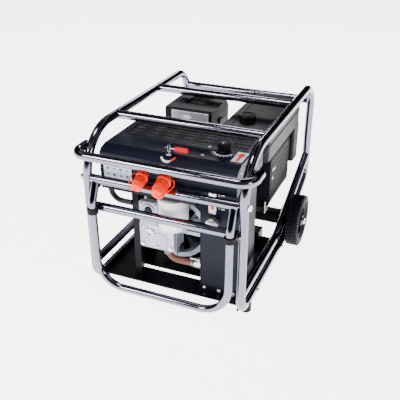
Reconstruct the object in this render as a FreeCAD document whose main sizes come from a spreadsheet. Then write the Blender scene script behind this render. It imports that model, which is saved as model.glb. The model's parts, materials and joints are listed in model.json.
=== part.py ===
import FreeCAD, Part
import math
import os
import re
import Sketcher

# A portable petrol hydraulic power pack in a bent-tube cage with two wheels.
# Lengths are millimetres. +X is to the machine's right seen from its control side,
# +Y runs from the control side to the back, and +Z is up from the floor.
# Places along Y are counted from the axis of the front uprights.

V = FreeCAD.Vector
X, Y, Z = V(1, 0, 0), V(0, 1, 0), V(0, 0, 1)
doc = FreeCAD.newDocument("power_pack")
sheet = doc.addObject("Spreadsheet::Sheet", "Sizes")

sizes = {
    # running, seating and welding gaps
    "run_gap": 0.05, "free_gap": 0.5, "gear_gap": 0.3, "weld_bite": 1, "middle_y": 0,
    # cage of bent tube
    "tube_d": 32, "tube_wall": 2.5, "hoop_x": 285, "hoop_depth": 858, "hoop_height": 571,
    "foot_height": 14, "front_top_bend": 160, "rear_top_bend": 100, "front_foot_bend": 55,
    "kick_start_y": 505, "kick_rise": 156, "kick_bend": 70, "long_bend": 150,
    "rail_rise": 71, "rail_kick_y": 440, "rail_end_rise": 253,
    "front_tube_y": 222, "middle_tube_y": 563, "rear_tube_drop": 72,
    "bumper_drop": 61, "bumper_gap": 1, "bumper_bend": 50, "bumper_end_y": 60, "cross_drop": 263,
    # pull handle that hangs in front of the cage
    "pivot_drop": 157, "handle_d": 32, "leg_d": 28, "handle_wall": 2.5, "lean_gap": 6,
    "knee_drop": 82, "knee_bend": 60, "handle_foot_rise": 6, "handle_bend": 105,
    "handle_side_gap": 1, "leg_inset": 1, "plug_depth": 40, "pivot_bolt_d": 12, "pivot_head_d": 22,
    "pivot_head": 8, "sleeve_length": 20,
    # base tray and screws
    "tray_sheet": 4, "tray_rise": 10, "tray_front_y": 24, "side_sheet": 5, "side_low": 12,
    "side_tail": 100, "side_high": 58, "side_end_y": 760, "slot_x": -44, "slot_y": 123,
    "slot_width": 20, "slot_length": 262, "channel_height": 48, "channel_width": 54,
    "channel_inset": 32, "channel_end_gap": 60, "screw_d": 8, "screw_head": 6,
    "screw_head_d": 14, "tray_screw_front_y": 150, "tray_screw_back_y": 470,
    # wheels and axle
    "wheel_y": 575, "wheel_r": 106, "tyre_width": 50, "wheel_gap": 4, "rim_r": 66, "rim_wall": 8,
    "tread_height": 14, "web_half": 4, "axle_d": 20, "hub_d": 44, "hub_width": 46,
    "beam_width": 60, "beam_height": 38, "beam_wall": 4, "nut_thick": 10, "nut_d": 30,
    "collar_wall": 5, "bracket_sheet": 6, "bracket_margin": 15, "foot_d": 40, "foot_y": 62,
    # engine
    "crank_x": -20, "crank_rise": 222, "crank_d": 25, "case_half": 105, "case_length": 200,
    "case_wall": 12, "base_drop": 105, "case_top": 98, "case_round": 14, "mount_d": 40,
    "mount_inset": 22, "flywheel_r": 78, "flywheel_width": 40, "blower_r": 92,
    "blower_length": 92, "blower_wall": 3, "recoil_r": 84, "recoil_length": 42,
    "grip_d": 22, "grip_width": 70, "grip_rise": 56, "grip_x": 42, "grip_reach": 14, "rope_d": 14,
    "cylinder_size": 116, "cylinder_length": 120, "cylinder_tilt": 25, "fin_count": 6,
    "fin_depth": 12, "fin_sheet": 4, "head_height": 26,
    "cleaner_x": -92, "cleaner_width": 194, "cleaner_depth": 184, "cleaner_height": 106,
    "cleaner_headroom": 25, "cleaner_slope": 22, "cleaner_wall": 3, "well_width": 76,
    "well_length": 92, "well_depth": 10, "neck_size": 60, "plate_width": 154,
    "plate_height": 44, "plate_thick": 3, "fuel_x": 158, "fuel_width": 200, "fuel_depth": 465,
    "fuel_headroom": 48, "fuel_height": 105, "fuel_round": 26, "fuel_wall": 2, "fuel_neck_d": 46,
    "fuel_neck_height": 12, "fuel_cap_d": 62, "fuel_cap_height": 20, "fuel_cap_x": -24, "fuel_cap_y": -97.5,
    "sump_width": 118, "sump_depth": 78, "sump_drop": 152, "sump_round": 12, "stand_width": 24,
    "stand_depth": 130, "stand_wall": 4, "muffler_x": 180, "muffler_width": 126,
    "muffler_depth": 270, "muffler_gap": 20, "muffler_drop": 17, "muffler_round": 30,
    "muffler_wall": 2, "exhaust_d": 34, "exhaust_rise": 38,
    # drive line and pump
    "shroud_r": 125, "shroud_band": 18, "shroud_gap": 20, "shroud_length": 42, "bell_wall": 6,
    "bell_length": 108, "bell_small_r": 74, "bell_flange_r": 92, "bell_hole_r": 40,
    "bell_flange": 10, "fan_r": 100, "fan_hub_r": 32, "fan_width": 22, "blade_count": 9,
    "blade_sheet": 4, "blade_angle": 40, "coupling_d": 60, "coupling_length": 52,
    "pump_shaft_d": 20, "pump_y": 60, "pump_length": 70, "pump_height": 102,
    "gear_teeth": 12, "gear_centres": 46, "gear_width": 30, "gear_inset": 22, "gear_wall": 3.6,
    "port_wall": 31.7, "flange_thick": 14, "arm_width": 14, "arm_length": 26,
    "pump_screw_inset": 13, "valve_shift": 31, "valve_width": 70, "valve_height": 84,
    "valve_depth": 58, "port_x": 4, "port_width": 30, "port_height": 52, "port_depth": 20,
    "filter_gap": 3, "filter_clear": 5, "filter_d": 108, "filter_height": 117,
    "hose_d": 20, "hose_wall": 4, "hose_y": 60, "hose_inset": 18, "hose_sag": 56,
    "hose_bend": 45, "elbow_bend": 36, "suction_d": 24, "suction_x": -30, "suction_drop": 120,
    "suction_bend": 40, "suction_y": 95, "tap_d": 26, "tap_length": 34, "tap_lever": 34,
    # oil tank, console and what is on them
    "tank_gap": 14, "tank_width": 146, "tank_front_y": 60, "tank_depth": 172, "tank_drop": 101,
    "tank_sheet": 3, "gauge_shift": 22, "gauge_height": 80, "gauge_width": 20,
    "gauge_depth": 12, "tank_cap_d": 44, "tank_cap_drop": 122, "tank_cap_height": 22,
    "panel_gap": 26, "panel_sheet": 4, "panel_flange": 25, "console_gap": 19,
    "console_front_y": 30, "console_back_y": 300, "console_headroom": 48,
    "console_height": 155, "console_nose": 42, "console_drop": 20, "console_sheet": 3,
    "ear_height": 10, "ear_sheet": 5, "ear_start_y": 4, "ear_length": 30,
    "cooler_front_y": 176, "cooler_back_y": 290, "cooler_inset": 15, "cooler_height": 46,
    "lever_x": 0, "lever_y": 62, "boss_height": 4, "boss_wall": 5, "post_d": 14,
    "post_height": 30, "arm_d": 8, "arm_rise": 17, "lever_arm": 22, "grip_length": 46,
    "lever_grip_d": 17, "knob_x": 160, "knob_y": 150, "knob_d": 48, "knob_height": 36,
    # hose couplings and their dust caps
    "coupling_tilt": 20, "mouth_drop": 61, "pressure_x": 14, "return_x": -66,
    "plug_d": 36, "plug_length": 62, "nose_d": 30, "nose_length": 30, "cap_wall": 7,
    "cap_length": 62, "cap_rim": 4,
    # speed lever
    "throttle_length": 62, "throttle_width": 14, "throttle_sheet": 4, "throttle_inset": 24,
    "throttle_rise": 68, "throttle_pin_d": 6,
}

# places and sizes that follow from the driving ones
follows = {
    "bottom": "foot_height + tube_d / 2",
    "inner_half": "hoop_x - tube_d / 2",
    "cage_top": "bottom + hoop_height",
    "tray_top": "bottom + tray_rise",
    "handle_lean": "tube_d / 2 + leg_d / 2 + lean_gap",
    "wheel_x": "hoop_x + tube_d / 2 + wheel_gap + tyre_width / 2",
    "console_width": "2 * (inner_half - console_gap)",
    "console_top": "cage_top - console_headroom",
    "console_low": "console_top - console_height",
    "cooler_width": "console_width - 2 * cooler_inset",
    "cooler_low": "console_top - console_sheet - cooler_height",
    "mouth_z": "console_top - mouth_drop",
    "tank_x": "inner_half - tank_gap - tank_width / 2",
    "tank_low": "tray_top",
    "tank_top": "console_top - tank_drop",
    "gauge_x": "tank_x - gauge_shift",
    "gear_reach": "gear_centres / 2 + 0.8 * gear_centres / gear_teeth + gear_gap",
    "pump_width": "gear_centres + 2 * gear_reach + gear_wall + port_wall",
    "pump_x": "crank_x + gear_reach + gear_wall - pump_width / 2",
    "pump_top": "crank_rise + pump_height / 2",
    "pump_back_y": "pump_y + pump_length",
    "pump_screw_x": "pump_width / 2 - pump_screw_inset",
    "pump_screw_z": "pump_height / 2 - pump_screw_inset",
    "valve_x": "pump_x - valve_shift",
    "filter_x": "valve_x + valve_width / 2 + filter_gap + filter_d / 2",
    "filter_y": "tube_d / 2 + filter_clear + filter_d / 2",
    "panel_x": "pump_x - pump_width / 2 - panel_gap",
    "shroud_y": "pump_back_y + shroud_gap",
    "fan_y": "shroud_y + 8",
    "coupling_y": "shroud_y + 46",
    "engine_front_y": "shroud_y + shroud_length + bell_length",
    "engine_back_y": "engine_front_y + case_length",
    "tray_back_y": "engine_back_y",
    "case_roof": "crank_rise + case_top",
    "cleaner_y": "engine_back_y + 20",
    "cleaner_top": "cage_top - cleaner_headroom",
    "cleaner_low": "cleaner_top - cleaner_height",
    "fuel_y": "engine_back_y + 67.5",
    "fuel_top": "cage_top - fuel_headroom",
    "fuel_low": "fuel_top - fuel_height",
    "muffler_y": "engine_back_y + 77",
    "muffler_low": "crank_rise - muffler_drop",
    "muffler_top": "fuel_low - muffler_gap",
}

for row, (name, number) in enumerate(sizes.items(), start=1):
    sheet.set(f"A{row}", name)
    sheet.set(f"B{row}", str(number))
    sheet.setAlias(f"B{row}", name)
middle_cell = f"B{list(sizes).index('middle_y') + 1}"
doc.recompute()


def bound(text):
    """Turn the names in a formula into references to the sheet."""
    def refer(found):
        word = found.group()
        if word in follows:
            return "(" + bound(follows[word]) + ")"
        return "Sizes." + word if word in sizes else word
    return re.sub(r"[a-z]\w*", refer, str(text))


def value(text):
    """Work out a formula from the sheet's numbers."""
    return float(sheet.evalExpression(bound(text)))


def place(item, x=0, y=0, z=0, turn=None):
    """Put a piece in the machine: y counts from the front uprights, z from the floor."""
    item.Placement = FreeCAD.Placement(V(), turn or FreeCAD.Rotation())
    item.setExpression("Placement.Base.x", bound(x))
    item.setExpression("Placement.Base.y", bound(f"({y}) - middle_y"))
    item.setExpression("Placement.Base.z", bound(z))
    return item


sub_parts = []


def finished(item, label):
    item.Label = label
    sub_parts.append(item)
    return item


def shape_part(label, shape):
    """A piece whose shape is worked out in machine coordinates."""
    item = doc.addObject("Part::Feature", label)
    item.Shape = shape
    place(item)
    return finished(item, label)


# --- sketch and feature helpers -------------------------------------------------------------

def sketch_on(owner, role, offset="0"):
    sketch = owner.newObject("Sketcher::SketchObject", owner.Name + "_sketch")
    plane = [item for item in owner.Origin.OriginFeatures if item.Role == role][0]
    sketch.AttachmentSupport = [(plane, "")]
    sketch.MapMode = "FlatFace"
    sketch.setExpression("AttachmentOffset.Base.z", bound(offset))
    return sketch


def pin_point(sketch, line, end, x, y):
    """Hold one sketch point at two formulas from the sketch's origin."""
    for kind, text in (("DistanceX", x), ("DistanceY", y)):
        index = sketch.addConstraint(Sketcher.Constraint(kind, -1, 1, line, end, value(text)))
        sketch.setExpression(f"Constraints[{index}]", bound(text))


def outline(sketch, points):
    """A closed outline of straight sides through corners given as formulas."""
    corners = [V(value(x), value(y), 0) for x, y in points]
    count = len(corners)
    first = sketch.GeometryCount
    for index in range(count):
        side = Part.LineSegment(corners[index], corners[(index + 1) % count])
        sketch.addGeometry(side, False)
    for index, (x, y) in enumerate(points):
        after = first + (index + 1) % count
        sketch.addConstraint(Sketcher.Constraint("Coincident", first + index, 2, after, 1))
        pin_point(sketch, first + index, 1, x, y)


def rectangle(sketch, width, height, x="0", y="0"):
    left, right = f"({x}) - ({width}) / 2", f"({x}) + ({width}) / 2"
    low, high = f"({y}) - ({height}) / 2", f"({y}) + ({height}) / 2"
    outline(sketch, [(left, low), (right, low), (right, high), (left, high)])


def circle(sketch, radius, x="0", y="0"):
    ring = Part.Circle(V(value(x), value(y), 0), Z, value(radius))
    index = sketch.addGeometry(ring, False)
    pin_point(sketch, index, 3, x, y)
    limit = sketch.addConstraint(Sketcher.Constraint("Radius", index, value(radius)))
    sketch.setExpression(f"Constraints[{limit}]", bound(radius))


def new_body(label):
    return finished(doc.addObject("PartDesign::Body", label), label)


def pad(owner, sketch, length, side="One side", reverse=False):
    feature = owner.newObject("PartDesign::Pad", owner.Name + "_pad")
    feature.Profile = sketch
    feature.SideType = side
    feature.Reversed = reverse
    feature.setExpression("Length", bound(length))
    doc.recompute()
    return feature


def pocket(owner, sketch, length, side="One side", reverse=False):
    before = owner.Shape.Volume
    feature = owner.newObject("PartDesign::Pocket", owner.Name + "_pocket")
    feature.Profile = sketch
    feature.SideType = side
    feature.Reversed = reverse
    feature.setExpression("Length", bound(length))
    doc.recompute()
    if owner.Shape.Volume > before - 1:
        raise RuntimeError(f"a pocket of {owner.Label} cuts nothing")
    return feature


def revolve(owner, sketch, axis="V_Axis"):
    feature = owner.newObject("PartDesign::Revolution", owner.Name + "_revolution")
    feature.Profile = sketch
    feature.ReferenceAxis = (sketch, [axis])
    feature.Angle = 360
    doc.recompute()
    return feature


def round_edges(owner, radius, chosen):
    """Round the edges of the newest feature that the test picks out."""
    base = owner.Tip
    names = [f"Edge{n}" for n, edge in enumerate(base.Shape.Edges, start=1) if chosen(edge)]
    feature = owner.newObject("PartDesign::Fillet", owner.Name + "_fillet")
    feature.Base = (base, names)
    feature.setExpression("Radius", bound(radius))
    doc.recompute()
    return feature


def along(edge, axis):
    """True for a straight edge that runs along the axis."""
    if edge.Curve.TypeId != "Part::GeomLine":
        return False
    return abs(abs(edge.Curve.Direction.dot(axis)) - 1) < 1e-6


# --- shape helpers --------------------------------------------------------------------------

def rod(radius, length, start, axis):
    return Part.makeCylinder(radius, length, start, axis)


def joined(shapes):
    return shapes[0].multiFuse(shapes[1:]).removeSplitter()


def bent_path(points, bends, closed=False):
    """Straight runs joined by tangent arcs, one bend radius for each inner corner."""
    count = len(points)
    corners = range(count) if closed else range(1, count - 1)
    arcs = []
    for index, radius in zip(corners, bends):
        corner = points[index]
        back = (points[index - 1] - corner).normalize()
        ahead = (points[(index + 1) % count] - corner).normalize()
        half = math.acos(back.dot(ahead)) / 2
        reach = radius / math.tan(half)
        bisector = (back + ahead).normalize()
        middle = corner + bisector * (radius / math.sin(half) - radius)
        arcs.append((corner + back * reach, middle, corner + ahead * reach))
    here = arcs[-1][2] if closed else points[0]
    edges = []
    for start, middle, end in arcs:
        if (start - here).Length > 1e-6:
            edges.append(Part.LineSegment(here, start).toShape())
        edges.append(Part.Arc(start, middle, end).toShape())
        here = end
    if not closed:
        edges.append(Part.LineSegment(here, points[-1]).toShape())
    return Part.Wire(edges)


def swept(path, diameter):
    """A round bar along a path, checked against its section times its length."""
    first = path.Edges[0]
    start = first.valueAt(first.FirstParameter)
    ring = Part.Wire([Part.makeCircle(diameter / 2, start, first.tangentAt(first.FirstParameter))])
    bar = path.makePipeShell([ring], True, False)
    wanted = math.pi * diameter ** 2 / 4 * path.Length
    if abs(bar.Volume - wanted) > 0.01 * wanted:
        raise RuntimeError("a bent tube has the wrong volume")
    return bar


def tube(path, diameter, wall):
    return swept(path, diameter).cut(swept(path, diameter - 2 * wall))


def hex_prism(across_corners, thick, centre, axis):
    flat = Part.makePolygon([V(across_corners / 2 * math.cos(math.radians(60 * k)),
                               across_corners / 2 * math.sin(math.radians(60 * k)), 0)
                             for k in range(7)])
    prism = Part.Face(flat).extrude(V(0, 0, thick))
    prism.Placement = FreeCAD.Placement(centre, FreeCAD.Rotation(Z, axis))
    return prism


def hex_bolt(diameter, length, head_d, head, seat, axis):
    """A bolt whose head sits on seat, with its shank along axis."""
    shank = rod(diameter / 2, length, seat, axis)
    return shank.fuse(hex_prism(head_d, head, seat - axis * head, axis))


# --- cage -----------------------------------------------------------------------------------

tube_d = value("tube_d")
tube_wall = value("tube_wall")
hoop_x = value("hoop_x")
bottom = value("bottom")
sides = {"left": -1, "right": 1}


def hoop_path(side):
    spots = [(0, 0), (0, value("hoop_height")), (value("hoop_depth"), value("hoop_height")),
             (value("hoop_depth"), value("kick_rise")), (value("kick_start_y"), 0)]
    bends = [value(name) for name in ("front_foot_bend", "front_top_bend", "rear_top_bend",
                                      "kick_bend", "long_bend")]
    return bent_path([V(side * hoop_x, y, bottom + z) for y, z in spots], bends, closed=True)


def rail_path(side):
    spots = [(0, value("rail_rise")), (value("rail_kick_y"), value("rail_rise")),
             (value("hoop_depth"), value("rail_end_rise"))]
    return bent_path([V(side * hoop_x, y, bottom + z) for y, z in spots], [value("long_bend")])


def side_holes(side):
    """Screw holes through one hoop for the tray screws and the handle's pivot bolt."""
    reach = value("tube_d + 4")
    start_x = side * hoop_x - reach / 2
    radius = value("screw_d / 2 + run_gap")
    spots = [V(start_x, value(name), bottom) for name in ("tray_screw_front_y", "tray_screw_back_y")]
    holes = [rod(radius, reach, spot, X) for spot in spots]
    pivot = V(start_x, 0, value("cage_top - pivot_drop"))
    holes.append(rod(value("pivot_bolt_d / 2 + run_gap"), reach, pivot, X))
    return holes


hoop_solids = {name: swept(hoop_path(side), tube_d) for name, side in sides.items()}
both_hoops = list(hoop_solids.values())
for name, side in sides.items():
    hollow = hoop_solids[name].cut(swept(hoop_path(side), tube_d - 2 * tube_wall))
    shape_part(f"{name}_hoop", hollow.cut(side_holes(side)))
rail_solids = {}
for name, side in sides.items():
    rail_solids[name] = swept(rail_path(side), tube_d)
    rail = tube(rail_path(side), tube_d, tube_wall)
    shape_part(f"{name}_side_rail", rail.cut(hoop_solids[name]))

both_rails = list(rail_solids.values())


def cross_tube(label, y, rise):
    """A straight tube between the hoops, its ends coped to fit round them."""
    path = Part.Wire([Part.makeLine(V(-hoop_x, y, bottom + rise), V(hoop_x, y, bottom + rise))])
    return shape_part(label, tube(path, tube_d, tube_wall).cut(both_hoops))


cross_tube("front_top_tube", value("front_tube_y"), value("hoop_height"))
cross_tube("middle_top_tube", value("middle_tube_y"), value("hoop_height"))
cross_tube("rear_top_tube", value("hoop_depth"), value("hoop_height - rear_tube_drop"))
cross_tube("front_cross_tube", 0, value("hoop_height - cross_drop"))

bumper_x = hoop_x + tube_d - value("weld_bite")
bumper_z = value("cage_top - bumper_drop")
bumper_front_y = -value("tube_d + bumper_gap")
bumper_back_y = value("bumper_end_y")
bumper_spots = [(-bumper_x, bumper_back_y), (-bumper_x, bumper_front_y),
                (bumper_x, bumper_front_y), (bumper_x, bumper_back_y)]
bumper_path = bent_path([V(x, y, bumper_z) for x, y in bumper_spots], [value("bumper_bend")] * 2)
shape_part("bumper_bar", tube(bumper_path, tube_d, tube_wall).cut(both_hoops))

# --- pull handle ----------------------------------------------------------------------------

handle_d = value("handle_d")
leg_d = value("leg_d")
pivot_z = value("cage_top - pivot_drop")
leg_y = -value("handle_lean")
bar_half = value("inner_half - handle_side_gap")
leg_x = bar_half - leg_d / 2 - value("leg_inset")
pivot_line = Part.Wire([Part.makeLine(V(-bar_half, 0, pivot_z), V(bar_half, 0, pivot_z))])
knee_z = pivot_z - value("knee_drop")
foot_z = bottom + value("handle_foot_rise")
leg_points = [V(-leg_x, 0, pivot_z), V(-leg_x, leg_y, knee_z), V(-leg_x, leg_y, foot_z),
              V(leg_x, leg_y, foot_z), V(leg_x, leg_y, knee_z), V(leg_x, 0, pivot_z)]
leg_bends = [value(name) for name in ("knee_bend", "handle_bend", "handle_bend", "knee_bend")]
leg_path = bent_path(leg_points, leg_bends)
handle_bars = swept(pivot_line, handle_d).fuse(swept(leg_path, leg_d))
plug_depth = value("plug_depth")
hollow_r = handle_d / 2 - value("handle_wall")
hollows = [rod(hollow_r, 2 * (bar_half - plug_depth), V(plug_depth - bar_half, 0, pivot_z), X),
           swept(leg_path, leg_d - 2 * value("handle_wall")),
           rod(value("pivot_bolt_d / 2 + run_gap"), 2 * bar_half, V(-bar_half, 0, pivot_z), X)]
shape_part("pull_handle", handle_bars.cut(hollows))

cross_z = value("cage_top - cross_drop")
sleeve_r = value("handle_lean - tube_d / 2 - free_gap")
sleeve_low = cross_z - value("sleeve_length / 2")
sleeves = []
for side in sides.values():
    ring = rod(sleeve_r, value("sleeve_length"), V(side * leg_x, leg_y, sleeve_low), Z)
    sleeves.append(ring.cut(rod(leg_d / 2, value("sleeve_length"),
                                V(side * leg_x, leg_y, sleeve_low), Z)))
shape_part("handle_sleeves", Part.makeCompound(sleeves))

pivot_bolts = []
for side in sides.values():
    seat = V(side * (hoop_x + tube_d / 2), 0, pivot_z)
    pivot_bolts.append(hex_bolt(value("pivot_bolt_d"), tube_d + plug_depth - 4,
                                value("pivot_head_d"), value("pivot_head"), seat, X * -side))
shape_part("handle_pivot_bolts", Part.makeCompound(pivot_bolts))

# --- wheels, axle and base tray -------------------------------------------------------------

wheel_y = value("wheel_y")
axle_z = value("wheel_r")
rim_half = "tyre_width * 0.34"
for name, side in sides.items():
    turn = FreeCAD.Rotation(Z, X * side)
    tyre = new_body(f"{name}_tyre")
    profile = sketch_on(tyre, "XZ_Plane")
    outline(profile, [("rim_r", f"-{rim_half}"), ("wheel_r - tread_height", "-tyre_width / 2"),
                      ("wheel_r - tread_height / 3", "-tyre_width * 0.42"),
                      ("wheel_r", "-tyre_width * 0.24"), ("wheel_r", "tyre_width * 0.24"),
                      ("wheel_r - tread_height / 3", "tyre_width * 0.42"),
                      ("wheel_r - tread_height", "tyre_width / 2"), ("rim_r", rim_half)])
    revolve(tyre, profile)
    place(tyre, f"{side} * wheel_x", "wheel_y", "wheel_r", turn)
    rim = new_body(f"{name}_rim")
    profile = sketch_on(rim, "XZ_Plane")
    bore = "axle_d / 2 + run_gap"
    outline(profile, [(bore, "-hub_width / 2"), ("hub_d / 2", "-hub_width / 2"),
                      ("hub_d / 2", "-web_half"), ("rim_r - rim_wall", "-web_half"),
                      ("rim_r - rim_wall", f"-{rim_half}"), ("rim_r", f"-{rim_half}"),
                      ("rim_r", rim_half), ("rim_r - rim_wall", rim_half),
                      ("rim_r - rim_wall", "web_half"), ("hub_d / 2", "web_half"),
                      ("hub_d / 2", "hub_width / 2"), (bore, "hub_width / 2")])
    revolve(rim, profile)
    place(rim, f"{side} * wheel_x", "wheel_y", "wheel_r", turn)

hub_out = value("wheel_x + hub_width / 2 + free_gap")
axle_half = hub_out + value("nut_thick")
axle_start = V(-axle_half, wheel_y, axle_z)
axle_r = value("axle_d / 2")
shape_part("wheel_axle", rod(axle_r, 2 * axle_half, axle_start, X))
side_out = value("inner_half + weld_bite")
side_inner = value("inner_half - side_sheet")
collar_length = value("wheel_x - hub_width / 2 - free_gap") - side_out
axle_bar = rod(axle_r, 2 * axle_half, axle_start, X)
nuts = []
for side in sides.values():
    nut = hex_prism(value("nut_d"), value("nut_thick"), V(side * hub_out, wheel_y, axle_z), X * side)
    collar_start = V(side * side_out, wheel_y, axle_z)
    collar = rod(axle_r + value("collar_wall"), collar_length, collar_start, X * side)
    nuts.extend([nut.cut(axle_bar), collar.cut(axle_bar)])
shape_part("wheel_nuts", Part.makeCompound(nuts))


def beam_block(start_x, width, margin):
    """A block round the axle, margin larger than the beam on each side."""
    deep = value("beam_width") + 2 * margin
    tall = value("beam_height") + 2 * margin
    return Part.makeBox(width, deep, tall, V(start_x, wheel_y - deep / 2, axle_z - tall / 2))


beam = beam_block(-side_inner, 2 * side_inner, 0)
beam = beam.cut(beam_block(-side_inner, 2 * side_inner, -value("beam_wall")))
bracket_sheet = value("bracket_sheet")
brackets = [beam_block(start_x, bracket_sheet, value("bracket_margin"))
            for start_x in (-side_inner, side_inner - bracket_sheet)]
beam = joined([beam] + brackets)
shape_part("axle_beam", beam.cut(rod(axle_r + value("run_gap"), 2 * axle_half, axle_start, X)))

tray = new_body("base_tray")
floor_profile = sketch_on(tray, "XY_Plane", "tray_top - tray_sheet")
rectangle(floor_profile, "2 * inner_half - side_sheet", "tray_back_y - tray_front_y",
          "0", "(tray_back_y + tray_front_y) / 2")
rectangle(floor_profile, "slot_length", "slot_width", "slot_x", "slot_y")
pad(tray, floor_profile, "tray_sheet")
end_rise = "(side_end_y - kick_start_y) * kick_rise / (hoop_depth - kick_start_y)"
for offset in ("inner_half - side_sheet", "-inner_half - weld_bite"):
    side_profile = sketch_on(tray, "YZ_Plane", offset)
    outline(side_profile, [("tray_front_y", "side_low"), ("kick_start_y", "side_low"),
                           ("side_end_y", f"side_low + {end_rise}"),
                           ("side_end_y", f"side_low + side_tail + {end_rise}"),
                           ("kick_start_y - 50", "side_high"), ("tray_front_y", "side_high")])
    for name in ("tray_screw_front_y", "tray_screw_back_y"):
        circle(side_profile, "screw_d / 2 + run_gap", name, "bottom")
    circle(side_profile, "axle_d / 2 + run_gap", "wheel_y", "wheel_r")
    pad(tray, side_profile, "side_sheet + weld_bite")
channel_profile = sketch_on(tray, "XY_Plane", "tray_top")
channel_spots = ("engine_front_y + channel_inset", "engine_back_y - channel_inset")
for where in channel_spots:
    rectangle(channel_profile, "2 * (inner_half - channel_end_gap)", "channel_width", "0", where)
pad(tray, channel_profile, "channel_height")
shell = doc.addObject("Part::Feature", "hoops_for_tray")
shell.Shape = Part.makeCompound(both_hoops + both_rails)
sub_parts.remove(tray)
tray.Label = "tray_blank"
trimmed_tray = doc.addObject("Part::Cut", "base_tray_cut")
trimmed_tray.Base = tray
trimmed_tray.Tool = shell
doc.recompute()
place(trimmed_tray)
finished(trimmed_tray, "base_tray")

foot_r = value("foot_d / 2")
foot_y = value("foot_y")
mount_low = value("tray_top + channel_height")
mount_height = value("crank_rise - base_drop") - mount_low
between_sides = Part.makeBox(2 * side_out, 2 * foot_r, bottom, V(-side_out, foot_y - foot_r, 0))
mounts = []
for name, side in sides.items():
    foot = rod(foot_r, bottom, V(side * hoop_x, foot_y, 0), Z)
    mounts.append(foot.cut([hoop_solids[name], between_sides]))
    for where in channel_spots:
        spot = V(value(f"crank_x + {side} * (case_half - mount_inset)"), value(where), mount_low)
        mounts.append(rod(value("mount_d / 2"), mount_height, spot, Z))
shape_part("rubber_mounts", Part.makeCompound(mounts))

# --- engine ---------------------------------------------------------------------------------

crank_x = value("crank_x")
crank_z = value("crank_rise")
back_y = value("engine_back_y")
crank_hole = "crank_d / 2 + run_gap"

case = new_body("crankcase")
profile = sketch_on(case, "XZ_Plane")
outline(profile, [("-case_half - 12", "-base_drop"), ("case_half + 12", "-base_drop"),
                  ("case_half + 12", "-base_drop + 12"), ("case_half - 6", "-base_drop + 12"),
                  ("case_half - 6", "case_top"), ("-case_half + 40", "case_top"),
                  ("-case_half", "case_top - 50"), ("-case_half", "-base_drop + 12"),
                  ("-case_half - 12", "-base_drop + 12")])
circle(profile, crank_hole)
pad(case, profile, "case_length", reverse=True)
round_edges(case, "case_round", lambda edge: along(edge, Y) and
            edge.CenterOfMass.z > value("case_top - 60") and abs(edge.CenterOfMass.x) > 40)
room = sketch_on(case, "XZ_Plane", "-case_wall")
outline(room, [("-case_half + case_wall", "-base_drop + 2 * case_wall"),
               ("case_half - 2 * case_wall", "-base_drop + 2 * case_wall"),
               ("case_half - 2 * case_wall", "case_top - 2 * case_wall"),
               ("-case_half + 50", "case_top - 2 * case_wall"),
               ("-case_half + case_wall", "case_top - 70")])
pocket(case, room, "case_length - 2 * case_wall")
place(case, "crank_x", "engine_front_y", "crank_rise")

barrel = new_body("cylinder")
profile = sketch_on(barrel, "XY_Plane")
rectangle(profile, "cylinder_size - 2 * fin_depth", "cylinder_size - 2 * fin_depth")
pad(barrel, profile, "cylinder_length")
fin_profile = sketch_on(barrel, "XY_Plane", "fin_depth")
rectangle(fin_profile, "cylinder_size", "cylinder_size")
fin = pad(barrel, fin_profile, "fin_sheet")
fins = barrel.newObject("PartDesign::LinearPattern", "cylinder_fins")
fins.Originals = [fin]
fins.Direction = (fin_profile, ["N_Axis"])
fins.setExpression("Length", bound("cylinder_length - head_height - 20"))
fins.setExpression("Occurrences", bound("fin_count"))
barrel.Tip = fins
doc.recompute()
head_profile = sketch_on(barrel, "XY_Plane", "cylinder_length - head_height")
rectangle(head_profile, "cylinder_size", "cylinder_size")
pad(barrel, head_profile, "head_height")
lean = FreeCAD.Rotation(Y, -90 + value("cylinder_tilt"))
place(barrel, "crank_x - case_half + 8", "engine_front_y + case_length / 2 - 8", "crank_rise + 30", lean)
doc.recompute()
trim = doc.addObject("Part::Cut", "cylinder_cut")
trim.Base = barrel
trim_block = doc.addObject("Part::Box", "case_block")
trim_block.setExpression("Length", bound("case_half * 2"))
trim_block.setExpression("Width", bound("case_length"))
trim_block.setExpression("Height", bound("base_drop + case_top + 40"))
place(trim_block, "crank_x - case_half", "engine_front_y", "crank_rise - base_drop")
trim.Tool = trim_block
sub_parts.remove(barrel)
barrel.Label = "cylinder_blank"
finished(trim, "cylinder")

# the blower housing covers the flywheel and opens to the recoil starter behind it
blower = new_body("blower_housing")
profile = sketch_on(blower, "XZ_Plane")
circle(profile, "blower_r")
pad(blower, profile, "blower_length", reverse=True)
hollow = sketch_on(blower, "XZ_Plane", "-blower_wall")
circle(hollow, "blower_r - blower_wall")
pocket(blower, hollow, "blower_length")
entry = sketch_on(blower, "XZ_Plane")
circle(entry, "crank_d / 2 + 4")
pocket(blower, entry, "blower_wall * 2", "Symmetric")
place(blower, "crank_x", "engine_back_y", "crank_rise")

recoil = new_body("recoil_cover")
profile = sketch_on(recoil, "XZ_Plane")
circle(profile, "blower_r")
pad(recoil, profile, "blower_wall", reverse=True)
dome = sketch_on(recoil, "XZ_Plane", "-blower_wall")
circle(dome, "recoil_r")
pad(recoil, dome, "recoil_length - blower_wall", reverse=True)
round_edges(recoil, "12", lambda edge: edge.CenterOfMass.y > value("recoil_length - 1"))
place(recoil, "crank_x", "engine_back_y + blower_length", "crank_rise")

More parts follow.
